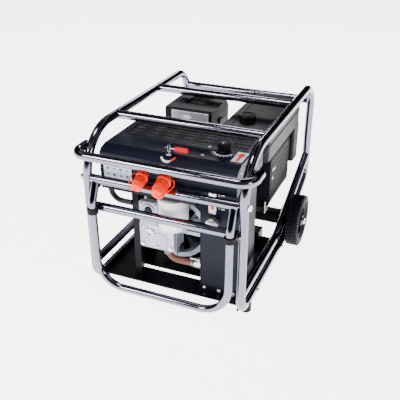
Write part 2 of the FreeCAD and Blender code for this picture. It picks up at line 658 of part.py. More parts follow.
recoil_back = value("engine_back_y + blower_length + recoil_length")
grip_z = crank_z + value("grip_rise")
grip_middle = V(crank_x + value("grip_x"), recoil_back + value("grip_reach + grip_d / 2"), grip_z)
grip_start = grip_middle - X * value("grip_width / 2")
grip_bar = rod(value("grip_d / 2"), value("grip_width"), grip_start, X)
stem_length = value("grip_reach + grip_d / 2 - free_gap")
grip_stem = rod(value("rope_d / 2"), stem_length, grip_middle - Y * stem_length, Y)
shape_part("recoil_grip", grip_bar.fuse(grip_stem))

flywheel_y = back_y + value("blower_wall + 12")
flywheel_width = value("flywheel_width")
crank_front_y = value("coupling_y + coupling_length / 2")
crank = rod(value("crank_d / 2"), flywheel_y + flywheel_width - crank_front_y,
            V(crank_x, crank_front_y, crank_z), Y)
flywheel = rod(value("flywheel_r"), flywheel_width, V(crank_x, flywheel_y, crank_z), Y)
shape_part("crankshaft", crank.fuse(flywheel))

cleaner = new_body("air_cleaner")
profile = sketch_on(cleaner, "YZ_Plane")
half_depth = "cleaner_depth / 2"
outline(profile, [(f"-{half_depth}", "cleaner_low"), (half_depth, "cleaner_low"),
                  (half_depth, "cleaner_top - cleaner_slope"),
                  (f"{half_depth} - cleaner_slope", "cleaner_top"),
                  (f"-{half_depth} + cleaner_slope / 4", "cleaner_top"),
                  (f"-{half_depth}", "cleaner_top - cleaner_slope / 3")])
pad(cleaner, profile, "cleaner_width", "Symmetric")
well = sketch_on(cleaner, "XY_Plane", "cleaner_top")
rectangle(well, "well_width", "well_length", "-6", "24")
pocket(cleaner, well, "well_depth")
inside = sketch_on(cleaner, "YZ_Plane")
rectangle(inside, "cleaner_depth - 2 * cleaner_wall", "cleaner_height - cleaner_slope - cleaner_wall",
          "0", "(cleaner_low + cleaner_top - cleaner_slope + cleaner_wall) / 2")
pocket(cleaner, inside, "cleaner_width - 2 * cleaner_wall", "Symmetric")
neck = sketch_on(cleaner, "XY_Plane", "cleaner_low")
rectangle(neck, "neck_size", "neck_size", "neck_size / 2", "-20 - neck_size / 2")
pad(cleaner, neck, "cleaner_low - case_roof", reverse=True)
place(cleaner, "cleaner_x", "cleaner_y", "0")

plate = doc.addObject("Part::Box", "air_cleaner_plate")
plate.setExpression("Length", bound("plate_width"))
plate.setExpression("Width", bound("plate_thick"))
plate.setExpression("Height", bound("plate_height"))
place(plate, "cleaner_x + 8 - plate_width / 2", "cleaner_y - cleaner_depth / 2 - plate_thick",
      "cleaner_top - cleaner_slope / 3 - plate_height")
finished(plate, "air_cleaner_plate")



def fuel_block(label, inset):
    """The fuel tank's rounded block, drawn in by inset on every side."""
    block = doc.addObject("PartDesign::Body", label)
    base = sketch_on(block, "XY_Plane", f"fuel_low + {inset}")
    rectangle(base, f"fuel_width - 2 * {inset}", f"fuel_depth - 2 * {inset}")
    pad(block, base, f"fuel_height - 2 * {inset}")
    round_edges(block, f"fuel_round - {inset}", lambda edge: along(edge, Z))
    roof = block.Shape.BoundBox.ZMax
    round_edges(block, f"fuel_round / 2 - {inset}", lambda edge: edge.CenterOfMass.z > roof - 1)
    return block


def hollowed(label, block, room):
    """A block with a closed room inside it, as one cut."""
    cut = doc.addObject("Part::Cut", label + "_cut")
    cut.Base = block
    cut.Tool = room
    doc.recompute()
    return finished(cut, label)


fuel = fuel_block("fuel_tank_blank", "0")
neck = sketch_on(fuel, "XY_Plane", "fuel_top")
circle(neck, "fuel_neck_d / 2", "fuel_cap_x", "fuel_cap_y")
pad(fuel, neck, "fuel_neck_height")
stand = sketch_on(fuel, "XY_Plane", "fuel_low + fuel_wall")
stand_x, stand_y = "crank_x + case_half - 13 - fuel_x", "fuel_cap_y - 40"
rectangle(stand, "stand_width", "stand_depth", stand_x, stand_y)
rectangle(stand, "stand_width - 2 * stand_wall", "stand_depth - 2 * stand_wall", stand_x, stand_y)
pad(fuel, stand, "fuel_low + fuel_wall - case_roof", reverse=True)
# the back of the tank reaches down behind the muffler
sump = sketch_on(fuel, "XY_Plane", "fuel_low + fuel_wall")
sump_x, sump_y = "(fuel_width - sump_width) / 2", "(fuel_depth - sump_depth) / 2"
rectangle(sump, "sump_width", "sump_depth", sump_x, sump_y)
rectangle(sump, "sump_width - 2 * fuel_wall", "sump_depth - 2 * fuel_wall", sump_x, sump_y)
pad(fuel, sump, "sump_drop + fuel_wall", reverse=True)
sump_floor = sketch_on(fuel, "XY_Plane", "fuel_low - sump_drop")
rectangle(sump_floor, "sump_width", "sump_depth", sump_x, sump_y)
pad(fuel, sump_floor, "fuel_wall")
sump_middle = value("fuel_low - sump_drop / 2")
round_edges(fuel, "sump_round", lambda edge: along(edge, Z) and edge.CenterOfMass.y > 0
            and abs(edge.CenterOfMass.z - sump_middle) < value("fuel_wall * 2"))
place(fuel, "fuel_x", "fuel_y", "0")
fuel_room = place(fuel_block("fuel_room", "fuel_wall"), "fuel_x", "fuel_y", "0")
hollowed("fuel_tank", fuel, fuel_room)

cap = new_body("fuel_cap")
profile = sketch_on(cap, "XY_Plane")
circle(profile, "fuel_cap_d / 2")
pad(cap, profile, "fuel_cap_height")
round_edges(cap, "3", lambda edge: edge.CenterOfMass.z > value("fuel_cap_height - 1"))
hollow = sketch_on(cap, "XY_Plane")
circle(hollow, "fuel_neck_d / 2 + free_gap")
pocket(cap, hollow, "fuel_neck_height + free_gap", reverse=True)
place(cap, "fuel_x + fuel_cap_x", "fuel_y + fuel_cap_y", "fuel_top + free_gap")



def muffler_block(label, inset):
    """The muffler's rounded can, drawn in by inset on every side."""
    block = doc.addObject("PartDesign::Body", label)
    base = sketch_on(block, "XZ_Plane")
    rectangle(base, f"muffler_width - 2 * {inset}", f"muffler_top - muffler_low - 2 * {inset}",
              "0", "(muffler_top + muffler_low) / 2")
    pad(block, base, f"muffler_depth - 2 * {inset}", "Symmetric")
    round_edges(block, f"muffler_round - {inset}", lambda edge: along(edge, Y))
    return block


muffler = muffler_block("muffler_blank", "0")
pipe = sketch_on(muffler, "YZ_Plane", "-muffler_width / 2 + muffler_wall")
circle(pipe, "exhaust_d / 2", "-muffler_depth / 2 + exhaust_d", "crank_rise + exhaust_rise")
pad(muffler, pipe, "muffler_x - muffler_width / 2 + muffler_wall - crank_x - case_half + case_wall / 2",
    reverse=True)
place(muffler, "muffler_x", "muffler_y", "0")
muffler_room = place(muffler_block("muffler_room", "muffler_wall"), "muffler_x", "muffler_y", "0")
hollowed("muffler", muffler, muffler_room)

throttle = new_body("throttle_lever")
profile = sketch_on(throttle, "XZ_Plane")
rectangle(profile, "throttle_width", "throttle_length", "0", "throttle_length / 2 - 6")
circle(profile, "throttle_pin_d / 2 + run_gap")
pad(throttle, profile, "throttle_sheet")
place(throttle, "crank_x + case_half - throttle_inset", "engine_front_y - free_gap",
      "crank_rise + throttle_rise")

# --- drive line and pump --------------------------------------------------------------------

bell = new_body("bell_housing")
profile = sketch_on(bell, "XY_Plane")
flange_start = "bell_length - bell_flange"
outline(profile, [("shroud_r - bell_wall", "0"), ("shroud_r", "0"),
                  ("bell_small_r + bell_wall", flange_start), ("bell_flange_r", flange_start),
                  ("bell_flange_r", "bell_length"), ("bell_hole_r", "bell_length"),
                  ("bell_hole_r", flange_start), ("bell_small_r", flange_start)])
revolve(bell, profile)
place(bell, "crank_x", "shroud_y + shroud_length", "crank_rise")

shroud = new_body("fan_shroud")
profile = sketch_on(shroud, "XZ_Plane")
circle(profile, "shroud_r")
circle(profile, "shroud_r - shroud_band")
pad(shroud, profile, "shroud_length", reverse=True)
spider = sketch_on(shroud, "XZ_Plane", "shroud_gap")
rectangle(spider, "pump_width", "pump_height", "pump_x - crank_x", "0")
circle(spider, "pump_shaft_d / 2 + free_gap")
screw_spots = [(across, up) for across in (-1, 1) for up in (-1, 1)]
for across, up in screw_spots:
    circle(spider, "screw_d / 2 + run_gap", f"pump_x - crank_x + {across} * pump_screw_x",
           f"{up} * pump_screw_z")
pad(shroud, spider, "flange_thick", reverse=True)
arm_sketch = sketch_on(shroud, "XZ_Plane", "shroud_gap")
rectangle(arm_sketch, "arm_width", "shroud_r - 38", "0", "shroud_r / 2 + 6")
arm = pad(shroud, arm_sketch, "arm_length", reverse=True)
arms = shroud.newObject("PartDesign::PolarPattern", "shroud_arms")
arms.Originals = [arm]
arms.Axis = (arm_sketch, ["N_Axis"])
arms.Angle = 360
arms.Occurrences = 4
shroud.Tip = arms
place(shroud, "crank_x", "shroud_y", "crank_rise")
doc.recompute()

shaft_axis = V(crank_x, 0, crank_z)
shaft_r = value("pump_shaft_d / 2")
fan_y = value("fan_y")
fan_width = value("fan_width")
blades = []
for index in range(int(value("blade_count"))):
    blade = Part.makeBox(value("blade_sheet"), fan_width + 4, value("fan_r - fan_hub_r") + 4,
                         V(-value("blade_sheet") / 2, -fan_width / 2 - 2, value("fan_hub_r") - 4))
    blade.rotate(V(), Z, value("blade_angle"))
    blade.rotate(V(), Y, 360 * index / value("blade_count"))
    blade.translate(shaft_axis + Y * (fan_y + fan_width / 2))
    blades.append(blade)
hub = rod(value("fan_hub_r"), fan_width, shaft_axis + Y * fan_y, Y)
swept_space = rod(value("fan_r"), fan_width, shaft_axis + Y * fan_y, Y)
fan = joined([hub] + blades).common(swept_space)
shape_part("cooling_fan", fan.cut(rod(shaft_r, 200, shaft_axis, Y)))

coupling_y = value("coupling_y")
coupling_length = value("coupling_length")
joint = rod(value("coupling_d / 2"), coupling_length, shaft_axis + Y * coupling_y, Y)
joint = joint.cut([rod(shaft_r, coupling_length / 2, shaft_axis + Y * coupling_y, Y),
                   rod(value("crank_d / 2"), coupling_length / 2, shaft_axis + Y * crank_front_y, Y)])
shape_part("drive_coupling", joint)


def gear(teeth, centres, width, start, turn):
    """An external spur gear with involute flanks, its axis along Y."""
    module = centres / teeth
    pitch_r = centres / 2
    tip_r, root_r = pitch_r + 0.8 * module, pitch_r - 1.1 * module
    base_r = pitch_r * math.cos(math.radians(20))
    half_tooth = (math.pi * module / 2 - value("gear_gap")) / 2 / pitch_r
    roll = math.tan(math.radians(20)) - math.radians(20)
    flank = []
    for step in range(5):
        radius = max(base_r, root_r) + (tip_r - max(base_r, root_r)) * step / 4
        angle = math.acos(min(1, base_r / radius))
        flank.append((radius, half_tooth + roll - (math.tan(angle) - angle)))
    spots = []
    for tooth in range(teeth):
        middle = 2 * math.pi * tooth / teeth + turn
        rising = [(root_r, flank[0][1])] + flank
        for radius, offset in rising:
            spots.append(V(radius * math.cos(middle - offset), 0, radius * math.sin(middle - offset)))
        for radius, offset in reversed(rising):
            spots.append(V(radius * math.cos(middle + offset), 0, radius * math.sin(middle + offset)))
    solid = Part.Face(Part.makePolygon(spots + spots[:1])).extrude(Y * width)
    solid.translate(start)
    return solid


teeth = int(value("gear_teeth"))
centres = value("gear_centres")
gear_width = value("gear_width")
pump_y = value("pump_y")
pump_back = value("pump_back_y")
gear_y = pump_y + value("gear_inset")
journal_y = pump_y + value("gear_inset / 3")
journal_length = pump_back - journal_y - value("case_wall / 2")
driven_axis = shaft_axis - X * centres
drive_gear = gear(teeth, centres, gear_width, shaft_axis + Y * gear_y, math.pi)
shaft = rod(shaft_r, crank_front_y - journal_y, shaft_axis + Y * journal_y, Y)
shape_part("pump_drive_gear", drive_gear.fuse(shaft))
driven_gear = gear(teeth, centres, gear_width, driven_axis + Y * gear_y, math.pi / teeth)
stub = rod(shaft_r, journal_length, driven_axis + Y * journal_y, Y)
shape_part("pump_driven_gear", driven_gear.fuse(stub))

pump = new_body("pump_block")
profile = sketch_on(pump, "XZ_Plane")
rectangle(profile, "pump_width", "pump_height")
for across, up in screw_spots:
    circle(profile, "screw_d / 2 + run_gap", f"{across} * pump_screw_x", f"{up} * pump_screw_z")
pad(pump, profile, "pump_length", reverse=True)
round_edges(pump, "8", lambda edge: along(edge, Y) and abs(edge.CenterOfMass.x) > 60)
place(pump, "pump_x", "pump_y", "crank_rise")
sub_parts.remove(pump)
end_gap = value("free_gap")
journal_r = shaft_r + value("run_gap")
cavity = []
for axis in (shaft_axis, driven_axis):
    cavity.append(rod(value("gear_reach"), gear_width + 2 * end_gap, axis + Y * (gear_y - end_gap), Y))
    cavity.append(rod(journal_r, journal_length + 2 * end_gap, axis + Y * (journal_y - end_gap), Y))
cavity.append(rod(journal_r, pump_back - gear_y, shaft_axis + Y * gear_y, Y))
chamber = doc.addObject("Part::Feature", "pump_chamber")
chamber.Shape = joined(cavity)
place(chamber)
pump_cut = doc.addObject("Part::Cut", "pump_cut")
pump_cut.Base = pump
pump_cut.Tool = chamber
finished(pump_cut, "pump_body")

valve = new_body("valve_block")
profile = sketch_on(valve, "XZ_Plane")
rectangle(profile, "valve_width", "valve_height", "0", "valve_height / 2")
pad(valve, profile, "valve_depth", reverse=True)
round_edges(valve, "6", lambda edge: along(edge, Y))
port = sketch_on(valve, "XZ_Plane")
rectangle(port, "port_width", "port_height - port_width", "port_x", "valve_height / 2")
pocket(valve, port, "port_depth")
for end in (-1, 1):
    bowl = sketch_on(valve, "XZ_Plane")
    circle(bowl, "port_width / 2", "port_x",
           f"valve_height / 2 + {end} * (port_height - port_width) / 2")
    pocket(valve, bowl, "port_depth")
place(valve, "valve_x", "pump_y", "pump_top")

canister = new_body("filter_canister")
profile = sketch_on(canister, "XY_Plane")
circle(profile, "filter_d / 2")
pad(canister, profile, "filter_height")
round_edges(canister, "10", lambda edge: edge.CenterOfMass.z < 1)
round_edges(canister, "4", lambda edge: edge.CenterOfMass.z > value("filter_height - 1"))
place(canister, "filter_x", "filter_y", "pump_top")

# --- hoses ----------------------------------------------------------------------------------

hose_d = value("hose_d")
hose_wall = value("hose_wall")
hose_y = value("hose_y")
hose_x = value("hose_inset - console_width / 2")
hose_z = value("console_low - hose_sag")
panel_x = value("panel_x")
mouth_z = value("mouth_z")
console_front = value("console_front_y")
valve_top = value("pump_top + valve_height")
filter_top = value("pump_top + filter_height")
elbow_bend = value("elbow_bend")
tilt = math.radians(value("coupling_tilt"))
ahead = V(0, -math.cos(tilt), -math.sin(tilt))
entry_y = console_front + value("console_sheet") + 2
entry_z = mouth_z + entry_y * math.tan(tilt)
hose_routes = [[V(hose_x, hose_y, value("console_low") + 60), V(hose_x, hose_y, hose_z),
                V(panel_x, hose_y, hose_z)]]
for start_z, start_x, start_y, end_x in ((valve_top, value("valve_x"), 92, value("return_x")),
                                         (filter_top, value("filter_x"), 100, value("pressure_x"))):
    hose_routes.append([V(end_x, start_y, start_z), V(end_x, start_y, entry_z + 14),
                        V(end_x, entry_y, entry_z)])
hoses = [tube(bent_path(route, [bend]), hose_d, hose_wall)
         for route, bend in zip(hose_routes, (value("hose_bend"), elbow_bend, elbow_bend))]
shape_part("hydraulic_hoses", Part.makeCompound(hoses))

suction_x = value("suction_x")
suction_y = value("suction_y")
suction_z = value("suction_drop")
tank_left = value("tank_x - tank_width / 2")
tap_length = value("tap_length")
pump_low = value("crank_rise - pump_height / 2")
suction_route = [V(suction_x, suction_y, pump_low), V(suction_x, suction_y, suction_z),
                 V(tank_left - tap_length, suction_y, suction_z)]
shape_part("suction_hose", tube(bent_path(suction_route, [value("suction_bend")]),
                                value("suction_d"), hose_wall))
tap_start = V(tank_left - tap_length, suction_y, suction_z)
tap_r = value("tap_d / 2")
stem_spot = tap_start + X * (tap_length / 2)
tap = rod(tap_r, tap_length, tap_start, X).fuse(rod(7, tap_r + 6, stem_spot, Z))
shape_part("suction_tap", tap)
lever_z = tap_r + 6 + value("free_gap")
lever_plate = Part.makeBox(value("tap_lever"), 10, 4, stem_spot + V(-value("tap_lever"), -5, lever_z))
shape_part("suction_tap_lever", lever_plate.fuse(rod(8, 6, stem_spot + Z * lever_z, Z)))

# --- oil tank -------------------------------------------------------------------------------

tank = new_body("oil_tank")
profile = sketch_on(tank, "XY_Plane")
rectangle(profile, "tank_width", "tank_depth", "0", "tank_depth / 2")
pad(tank, profile, "tank_top - tank_low")
round_edges(tank, "5", lambda edge: along(edge, Z))
inside = sketch_on(tank, "XY_Plane", "tank_sheet")
rectangle(inside, "tank_width - 2 * tank_sheet", "tank_depth - 2 * tank_sheet", "0", "tank_depth / 2")
pocket(tank, inside, "tank_top - tank_low - 2 * tank_sheet", reverse=True)
place(tank, "tank_x", "tank_front_y", "tank_low")

gauge = new_body("level_gauge")
profile = sketch_on(gauge, "XZ_Plane")
rectangle(profile, "gauge_width", "gauge_height")
pad(gauge, profile, "gauge_depth")
round_edges(gauge, "4", lambda edge: along(edge, Y))
place(gauge, "gauge_x", "tank_front_y", "tank_top - gauge_height / 2")

tank_cap = new_body("tank_filler_cap")
profile = sketch_on(tank_cap, "XZ_Plane")
circle(profile, "tank_cap_d / 2")
pad(tank_cap, profile, "tank_cap_height")
round_edges(tank_cap, "3", lambda edge: edge.CenterOfMass.y < value("1 - tank_cap_height"))
place(tank_cap, "gauge_x", "tank_front_y - free_gap", "tank_top - tank_cap_drop")

# --- panels and console ---------------------------------------------------------------------

panel = new_body("support_panel")
profile = sketch_on(panel, "XY_Plane")
outline(profile, [("0", "0"), ("panel_flange", "0"), ("panel_flange", "panel_sheet"),
                  ("panel_sheet", "panel_sheet"), ("panel_sheet", "tank_depth"), ("0", "tank_depth")])
pad(panel, profile, "cooler_low - tray_top")
place(panel, "panel_x", "tank_front_y", "tray_top")

console = new_body("control_console")
front, back, low, top = "console_front_y", "console_back_y", "console_low", "console_top"
profile = sketch_on(console, "YZ_Plane")
outline(profile, [(front, low), (back, low), (back, top), (f"{front} + console_nose", top),
                  (f"{front} + console_nose / 3", f"{top} - console_drop * 0.4"),
                  (front, f"{top} - console_drop")])
pad(console, profile, "console_width", "Symmetric")
inner = sketch_on(console, "YZ_Plane")
wall = "console_sheet"
outline(inner, [(f"{front} + {wall}", f"{low} - 1"), (f"{back} - {wall}", f"{low} - 1"),
                (f"{back} - {wall}", f"{top} - {wall}"),
                (f"{front} + console_nose + 1", f"{top} - {wall}"),
                (f"{front} + console_nose / 3 + 1", f"{top} - console_drop * 0.4 - {wall}"),
                (f"{front} + {wall}", f"{top} - console_drop - {wall} + 1")])
pocket(console, inner, "console_width - 2 * console_sheet", "Symmetric")
vent = sketch_on(console, "XY_Plane", "console_top")
rectangle(vent, "cooler_width - 20", "cooler_back_y - cooler_front_y - 10", "0",
          "(cooler_back_y + cooler_front_y) / 2")
pocket(console, vent, "console_sheet + 1")
notch = sketch_on(console, "XZ_Plane")
notch_edge = f"tank_x - tank_width / 2 - {wall}"
rectangle(notch, "tank_width * 2", "tank_width", f"{notch_edge} + tank_width",
          f"tank_top + {wall} - tank_width / 2")
pocket(console, notch, "1000", "Symmetric")
seat = sketch_on(console, "XY_Plane", "console_top - console_drop * 0.6")
circle(seat, "post_d / 2 + boss_wall", "lever_x", "lever_y")
pad(console, seat, "console_drop * 0.6 + boss_height")
for side in sides.values():
    ear = sketch_on(console, "YZ_Plane", f"{side} * (hoop_x + console_width / 2) / 2")
    rectangle(ear, "console_front_y + ear_length - ear_start_y", "ear_sheet",
              "(console_front_y + ear_length + ear_start_y) / 2", "console_low + ear_height")
    pad(console, ear, "hoop_x - console_width / 2", "Symmetric")
sub_parts.remove(console)
console.Label = "console_blank"
console_cut = doc.addObject("Part::Cut", "console_cut")
console_cut.Base = console
console_cut.Tool = shell
doc.recompute()
place(console_cut)
finished(console_cut, "control_console")

cooler = doc.addObject("Part::Box", "cooler_core")
cooler.setExpression("Length", bound("cooler_width"))
cooler.setExpression("Width", bound("cooler_back_y - cooler_front_y"))
cooler.setExpression("Height", bound("cooler_height"))
place(cooler, "-cooler_width / 2", "cooler_front_y", "cooler_low")
finished(cooler, "cooler_core")

seat_z = "console_top + boss_height + free_gap"
post = new_body("valve_lever")
profile = sketch_on(post, "XY_Plane")
circle(profile, "post_d / 2")
pad(post, profile, "post_height")
arm_profile = sketch_on(post, "YZ_Plane")
circle(arm_profile, "arm_d / 2", "0", "arm_rise")
pad(post, arm_profile, "lever_arm + grip_length / 2")
place(post, "lever_x", "lever_y", seat_z)

red_grip = new_body("lever_grip")
profile = sketch_on(red_grip, "YZ_Plane", "lever_arm")
circle(profile, "lever_grip_d / 2", "0", "arm_rise")
pad(red_grip, profile, "grip_length")
round_edges(red_grip, "4", lambda edge: edge.CenterOfMass.x > value("lever_arm + 2"))
hole = sketch_on(red_grip, "YZ_Plane", "lever_arm")
circle(hole, "arm_d / 2", "0", "arm_rise")
pocket(red_grip, hole, "grip_length / 2", reverse=True)
place(red_grip, "lever_x", "lever_y", seat_z)

knob = new_body("flow_knob")
profile = sketch_on(knob, "XY_Plane")
circle(profile, "knob_d / 2")
pad(knob, profile, "knob_height")
round_edges(knob, "5", lambda edge: edge.CenterOfMass.z > value("knob_height - 1"))
place(knob, "knob_x", "knob_y", "console_top + free_gap")

# --- hose couplings and dust caps -----------------------------------------------------------

couplings = []
for name, scale in (("return", 0.84), ("pressure", 1)):
    spot = V(value(f"{name}_x"), console_front, mouth_z + console_front * math.tan(tilt))
    reach = value("plug_length") * 0.7
    plug = rod(value("plug_d / 2") * scale, reach + 20, spot - ahead * 20, ahead)
    front_block = Part.makeBox(200, 100, 300, V(spot.x - 100, console_front, spot.z - 150))
    plug = plug.cut(front_block)
    nose_r = value("nose_d / 2") * scale
    nose_length = value("nose_length")
    couplings.append(plug.fuse(rod(nose_r, nose_length, spot + ahead * reach, ahead)))
    start = spot + ahead * (reach + value("free_gap"))
    length = value("cap_length") * scale
    outer_r = nose_r + value("gear_gap + cap_wall") * scale
    cup = rod(outer_r, length, start, ahead)
    rims = [edge for edge in cup.Edges if (edge.CenterOfMass - start).dot(ahead) > length - 1]
    cup = cup.makeFillet(outer_r * 0.4, rims)
    cup = cup.fuse(rod(outer_r + value("cap_rim / 2"), value("cap_rim"), start, ahead))
    hollow_length = nose_length + value("gear_gap")
    shape_part(f"{name}_cap", cup.cut(rod(nose_r + value("gear_gap"), hollow_length, start, ahead)))
shape_part("quick_couplings", Part.makeCompound(couplings))

# --- screws ---------------------------------------------------------------------------------

screw_d = value("screw_d")
screws = []
for side in sides.values():
    for name in ("tray_screw_front_y", "tray_screw_back_y"):
        seat = V(side * (hoop_x + tube_d / 2), value(name), bottom)
        screws.append(hex_bolt(screw_d, tube_d + 12, value("screw_head_d"), value("screw_head"),
                               seat, X * -side))
for across, up in screw_spots:
    seat = V(value("pump_x") + across * value("pump_screw_x"), pump_y,
             crank_z + up * value("pump_screw_z"))
    screws.append(hex_bolt(screw_d, value("pump_length + flange_thick"), value("screw_head_d"),
                           value("screw_head"), seat, Y))
shape_part("m8_screws", Part.makeCompound(screws))

# --- centre the machine, check it and write it out ------------------------------------------

doc.recompute()
boxes = [item.Shape.optimalBoundingBox(False, False) for item in sub_parts]
front_end, back_end = min(box.YMin for box in boxes), max(box.YMax for box in boxes)
sheet.set(middle_cell, str(round((front_end + back_end) / 2, 3)))
doc.recompute()
print("length", round(back_end - front_end, 1), "width", round(2 * max(box.XMax for box in boxes), 1),
      "height", round(max(box.ZMax for box in boxes), 1))
for item in doc.Objects:
    if "Invalid" in item.State or "Error" in item.State:
        raise RuntimeError(f"{item.Label} did not compute")
os.makedirs("parts", exist_ok=True)
for item in sub_parts:
    if item.Shape.isNull() or not item.Shape.isValid():
        raise RuntimeError(f"{item.Label} has no valid shape")
    item.Shape.exportStep(f"parts/{item.Label}.step")
print(len(sub_parts), "pieces")
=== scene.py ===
import json
import math

import bmesh
import bpy
from mathutils import Matrix, Vector
from mathutils.bvhtree import BVHTree


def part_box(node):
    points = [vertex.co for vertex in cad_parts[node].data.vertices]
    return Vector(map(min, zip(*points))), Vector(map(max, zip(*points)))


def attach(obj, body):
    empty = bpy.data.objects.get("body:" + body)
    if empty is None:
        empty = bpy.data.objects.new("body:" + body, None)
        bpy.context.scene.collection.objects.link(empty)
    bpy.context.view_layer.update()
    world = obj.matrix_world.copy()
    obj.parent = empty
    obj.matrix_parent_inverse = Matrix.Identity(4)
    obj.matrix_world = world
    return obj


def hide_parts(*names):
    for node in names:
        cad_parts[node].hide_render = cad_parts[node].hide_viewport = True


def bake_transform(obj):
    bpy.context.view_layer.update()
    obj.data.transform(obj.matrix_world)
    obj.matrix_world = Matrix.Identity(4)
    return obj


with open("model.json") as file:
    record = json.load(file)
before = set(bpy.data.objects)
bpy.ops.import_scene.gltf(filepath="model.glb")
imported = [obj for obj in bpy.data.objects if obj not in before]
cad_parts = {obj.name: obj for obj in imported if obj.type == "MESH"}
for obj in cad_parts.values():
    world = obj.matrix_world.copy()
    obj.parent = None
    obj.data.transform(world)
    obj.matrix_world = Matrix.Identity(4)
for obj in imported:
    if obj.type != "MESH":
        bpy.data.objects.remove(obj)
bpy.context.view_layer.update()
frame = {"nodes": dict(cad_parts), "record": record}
xWay, yWay, zWay = Vector((1, 0, 0)), Vector((0, 1, 0)), Vector((0, 0, 1))
mm = 0.001
uprightY = (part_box("front_cross_tube")[0].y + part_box("front_cross_tube")[1].y) / 2


class Sock:
    # a shader socket that can stand in Python sums
    def __init__(self, paint, link):
        self.paint = paint
        self.link = link

    def __add__(self, other):
        return self.paint.sum("ADD", self, other)

    def __radd__(self, other):
        return self.paint.sum("ADD", other, self)

    def __sub__(self, other):
        return self.paint.sum("SUBTRACT", self, other)

    def __rsub__(self, other):
        return self.paint.sum("SUBTRACT", other, self)

    def __mul__(self, other):
        return self.paint.sum("MULTIPLY", self, other)

    def __rmul__(self, other):
        return self.paint.sum("MULTIPLY", other, self)


class Paint:
    # the node tree of a material or a world
    def __init__(self, name, owner=None):
        self.material = owner or bpy.data.materials.new(name)
        self.material.use_nodes = True
        self.tree = self.material.node_tree
        self.tree.nodes.clear()
        self.place = self.node("ShaderNodeTexCoord", output="Object")

    def node(self, kind, settings=None, sockets=None, output=0):
        made = self.tree.nodes.new(kind)
        for key, setting in (settings or {}).items():
            if key == "stops":
                while len(made.color_ramp.elements) < len(setting):
                    made.color_ramp.elements.new(0.5)
                for element, (position, colour) in zip(made.color_ramp.elements, setting):
                    element.position = position
                    element.color = colour
            else:
                setattr(made, key, setting)
        for key, given in (sockets or {}).items():
            if isinstance(given, Sock):
                self.tree.links.new(given.link, made.inputs[key])
            else:
                made.inputs[key].default_value = given
        return Sock(self, made.outputs[output]) if made.outputs else None

    def sum(self, operation, a, b):
        return self.node("ShaderNodeMath", {"operation": operation}, {0: a, 1: b})

    def scaled(self, factors):
        return self.node("ShaderNodeMapping", None, {"Vector": self.place, "Scale": factors})

    def noise(self, scale, detail=3, rough=0.5, where=None):
        return self.node("ShaderNodeTexNoise", None, {"Vector": where or self.place, "Scale": scale,
                                                      "Detail": detail, "Roughness": rough})

    def cells(self, scale, where=None, feature="F1"):
        return self.node("ShaderNodeTexVoronoi", {"feature": feature},
                         {"Vector": where or self.place, "Scale": scale})

    def blended(self, factor, first, second):
        # the colour mix runs from first to second
        return self.node("ShaderNodeMix", {"data_type": "RGBA"}, {0: factor, 6: first, 7: second}, 2)

    def ridged(self, value, low, high):
        return self.node("ShaderNodeMapRange", None,
                         {"Value": value, "From Min": low, "From Max": high})

    def bumped(self, height, depth, strength=1.0):
        return self.node("ShaderNodeBump", None,
                         {"Height": height, "Distance": depth, "Strength": strength})

    def surface(self, sockets):
        shader = self.node("ShaderNodeBsdfPrincipled", None, sockets)
        self.node("ShaderNodeOutputMaterial", None, {"Surface": shader})
        return self.material


def tint(colour, factor=1.0):
    return (colour[0] * factor, colour[1] * factor, colour[2] * factor, 1.0)


def polishedTube():
    paint = Paint("polished_tube")
    streaks = paint.noise(60, 4, 0.6)
    smudges = paint.noise(14, 3)
    # the base colour sits far darker than bare chrome: painted shade standing in for the dark surroundings
    # the tubes mirror; smudges vary it between two dark tones
    colour = paint.blended(smudges, tint((0.18, 0.18, 0.225)), tint((0.13, 0.13, 0.17)))
    return paint.surface({"Base Color": colour, "Metallic": 1.0,
                          "Roughness": 0.05 + smudges * 0.07 + streaks * 0.03,
                          "Normal": paint.bumped(streaks, 0.00004)})


def platedSteel(name, colour, grain=220):
    paint = Paint(name)
    spots = paint.noise(grain, 4, 0.7)
    clouds = paint.noise(26, 3)
    return paint.surface({"Base Color": paint.blended(clouds, tint(colour), tint(colour, 0.72)),
                          "Metallic": 1.0, "Roughness": 0.22 + spots * 0.2,
                          "Normal": paint.bumped(spots, 0.00006)})


def powderCoat(name, colour, worn, gloss=0.34):
    paint = Paint(name)
    orangePeel = paint.noise(900, 2, 0.5)
    dust = paint.noise(9, 5, 0.62)
    scuffs = paint.ridged(paint.noise(55, 6, 0.8), 0.62, 0.72)
    dusty = paint.blended(paint.ridged(dust, 0.35, 0.75), tint(colour), tint(worn))
    return paint.surface({"Base Color": paint.blended(scuffs * 0.35, dusty, tint(worn, 1.5)),
                          "Roughness": gloss + dust * 0.16 + scuffs * 0.12, "Specular IOR Level": 0.1,
                          "Normal": paint.bumped(orangePeel, 0.00012)})


def enamel(name, colour, shade, gloss=0.2):
    paint = Paint(name)
    ripple = paint.noise(180, 2, 0.4)
    grime = paint.noise(18, 5, 0.65)
    dirt = paint.ridged(grime, 0.55, 0.85)
    return paint.surface({"Base Color": paint.blended(dirt, tint(colour), tint(shade)),
                          "Roughness": gloss + grime * 0.14, "Coat Weight": 0.25,
                          "Normal": paint.bumped(ripple, 0.00008)})


def mouldedPlastic(name, colour, gloss=0.4, grain=1400):
    paint = Paint(name)
    leather = paint.cells(grain)
    clouds = paint.noise(20, 4)
    return paint.surface({"Base Color": paint.blended(clouds, tint(colour), tint(colour, 0.7)),
                          "Roughness": gloss + clouds * 0.15, "Specular IOR Level": 0.12,
                          "Normal": paint.bumped(leather, 0.00008)})


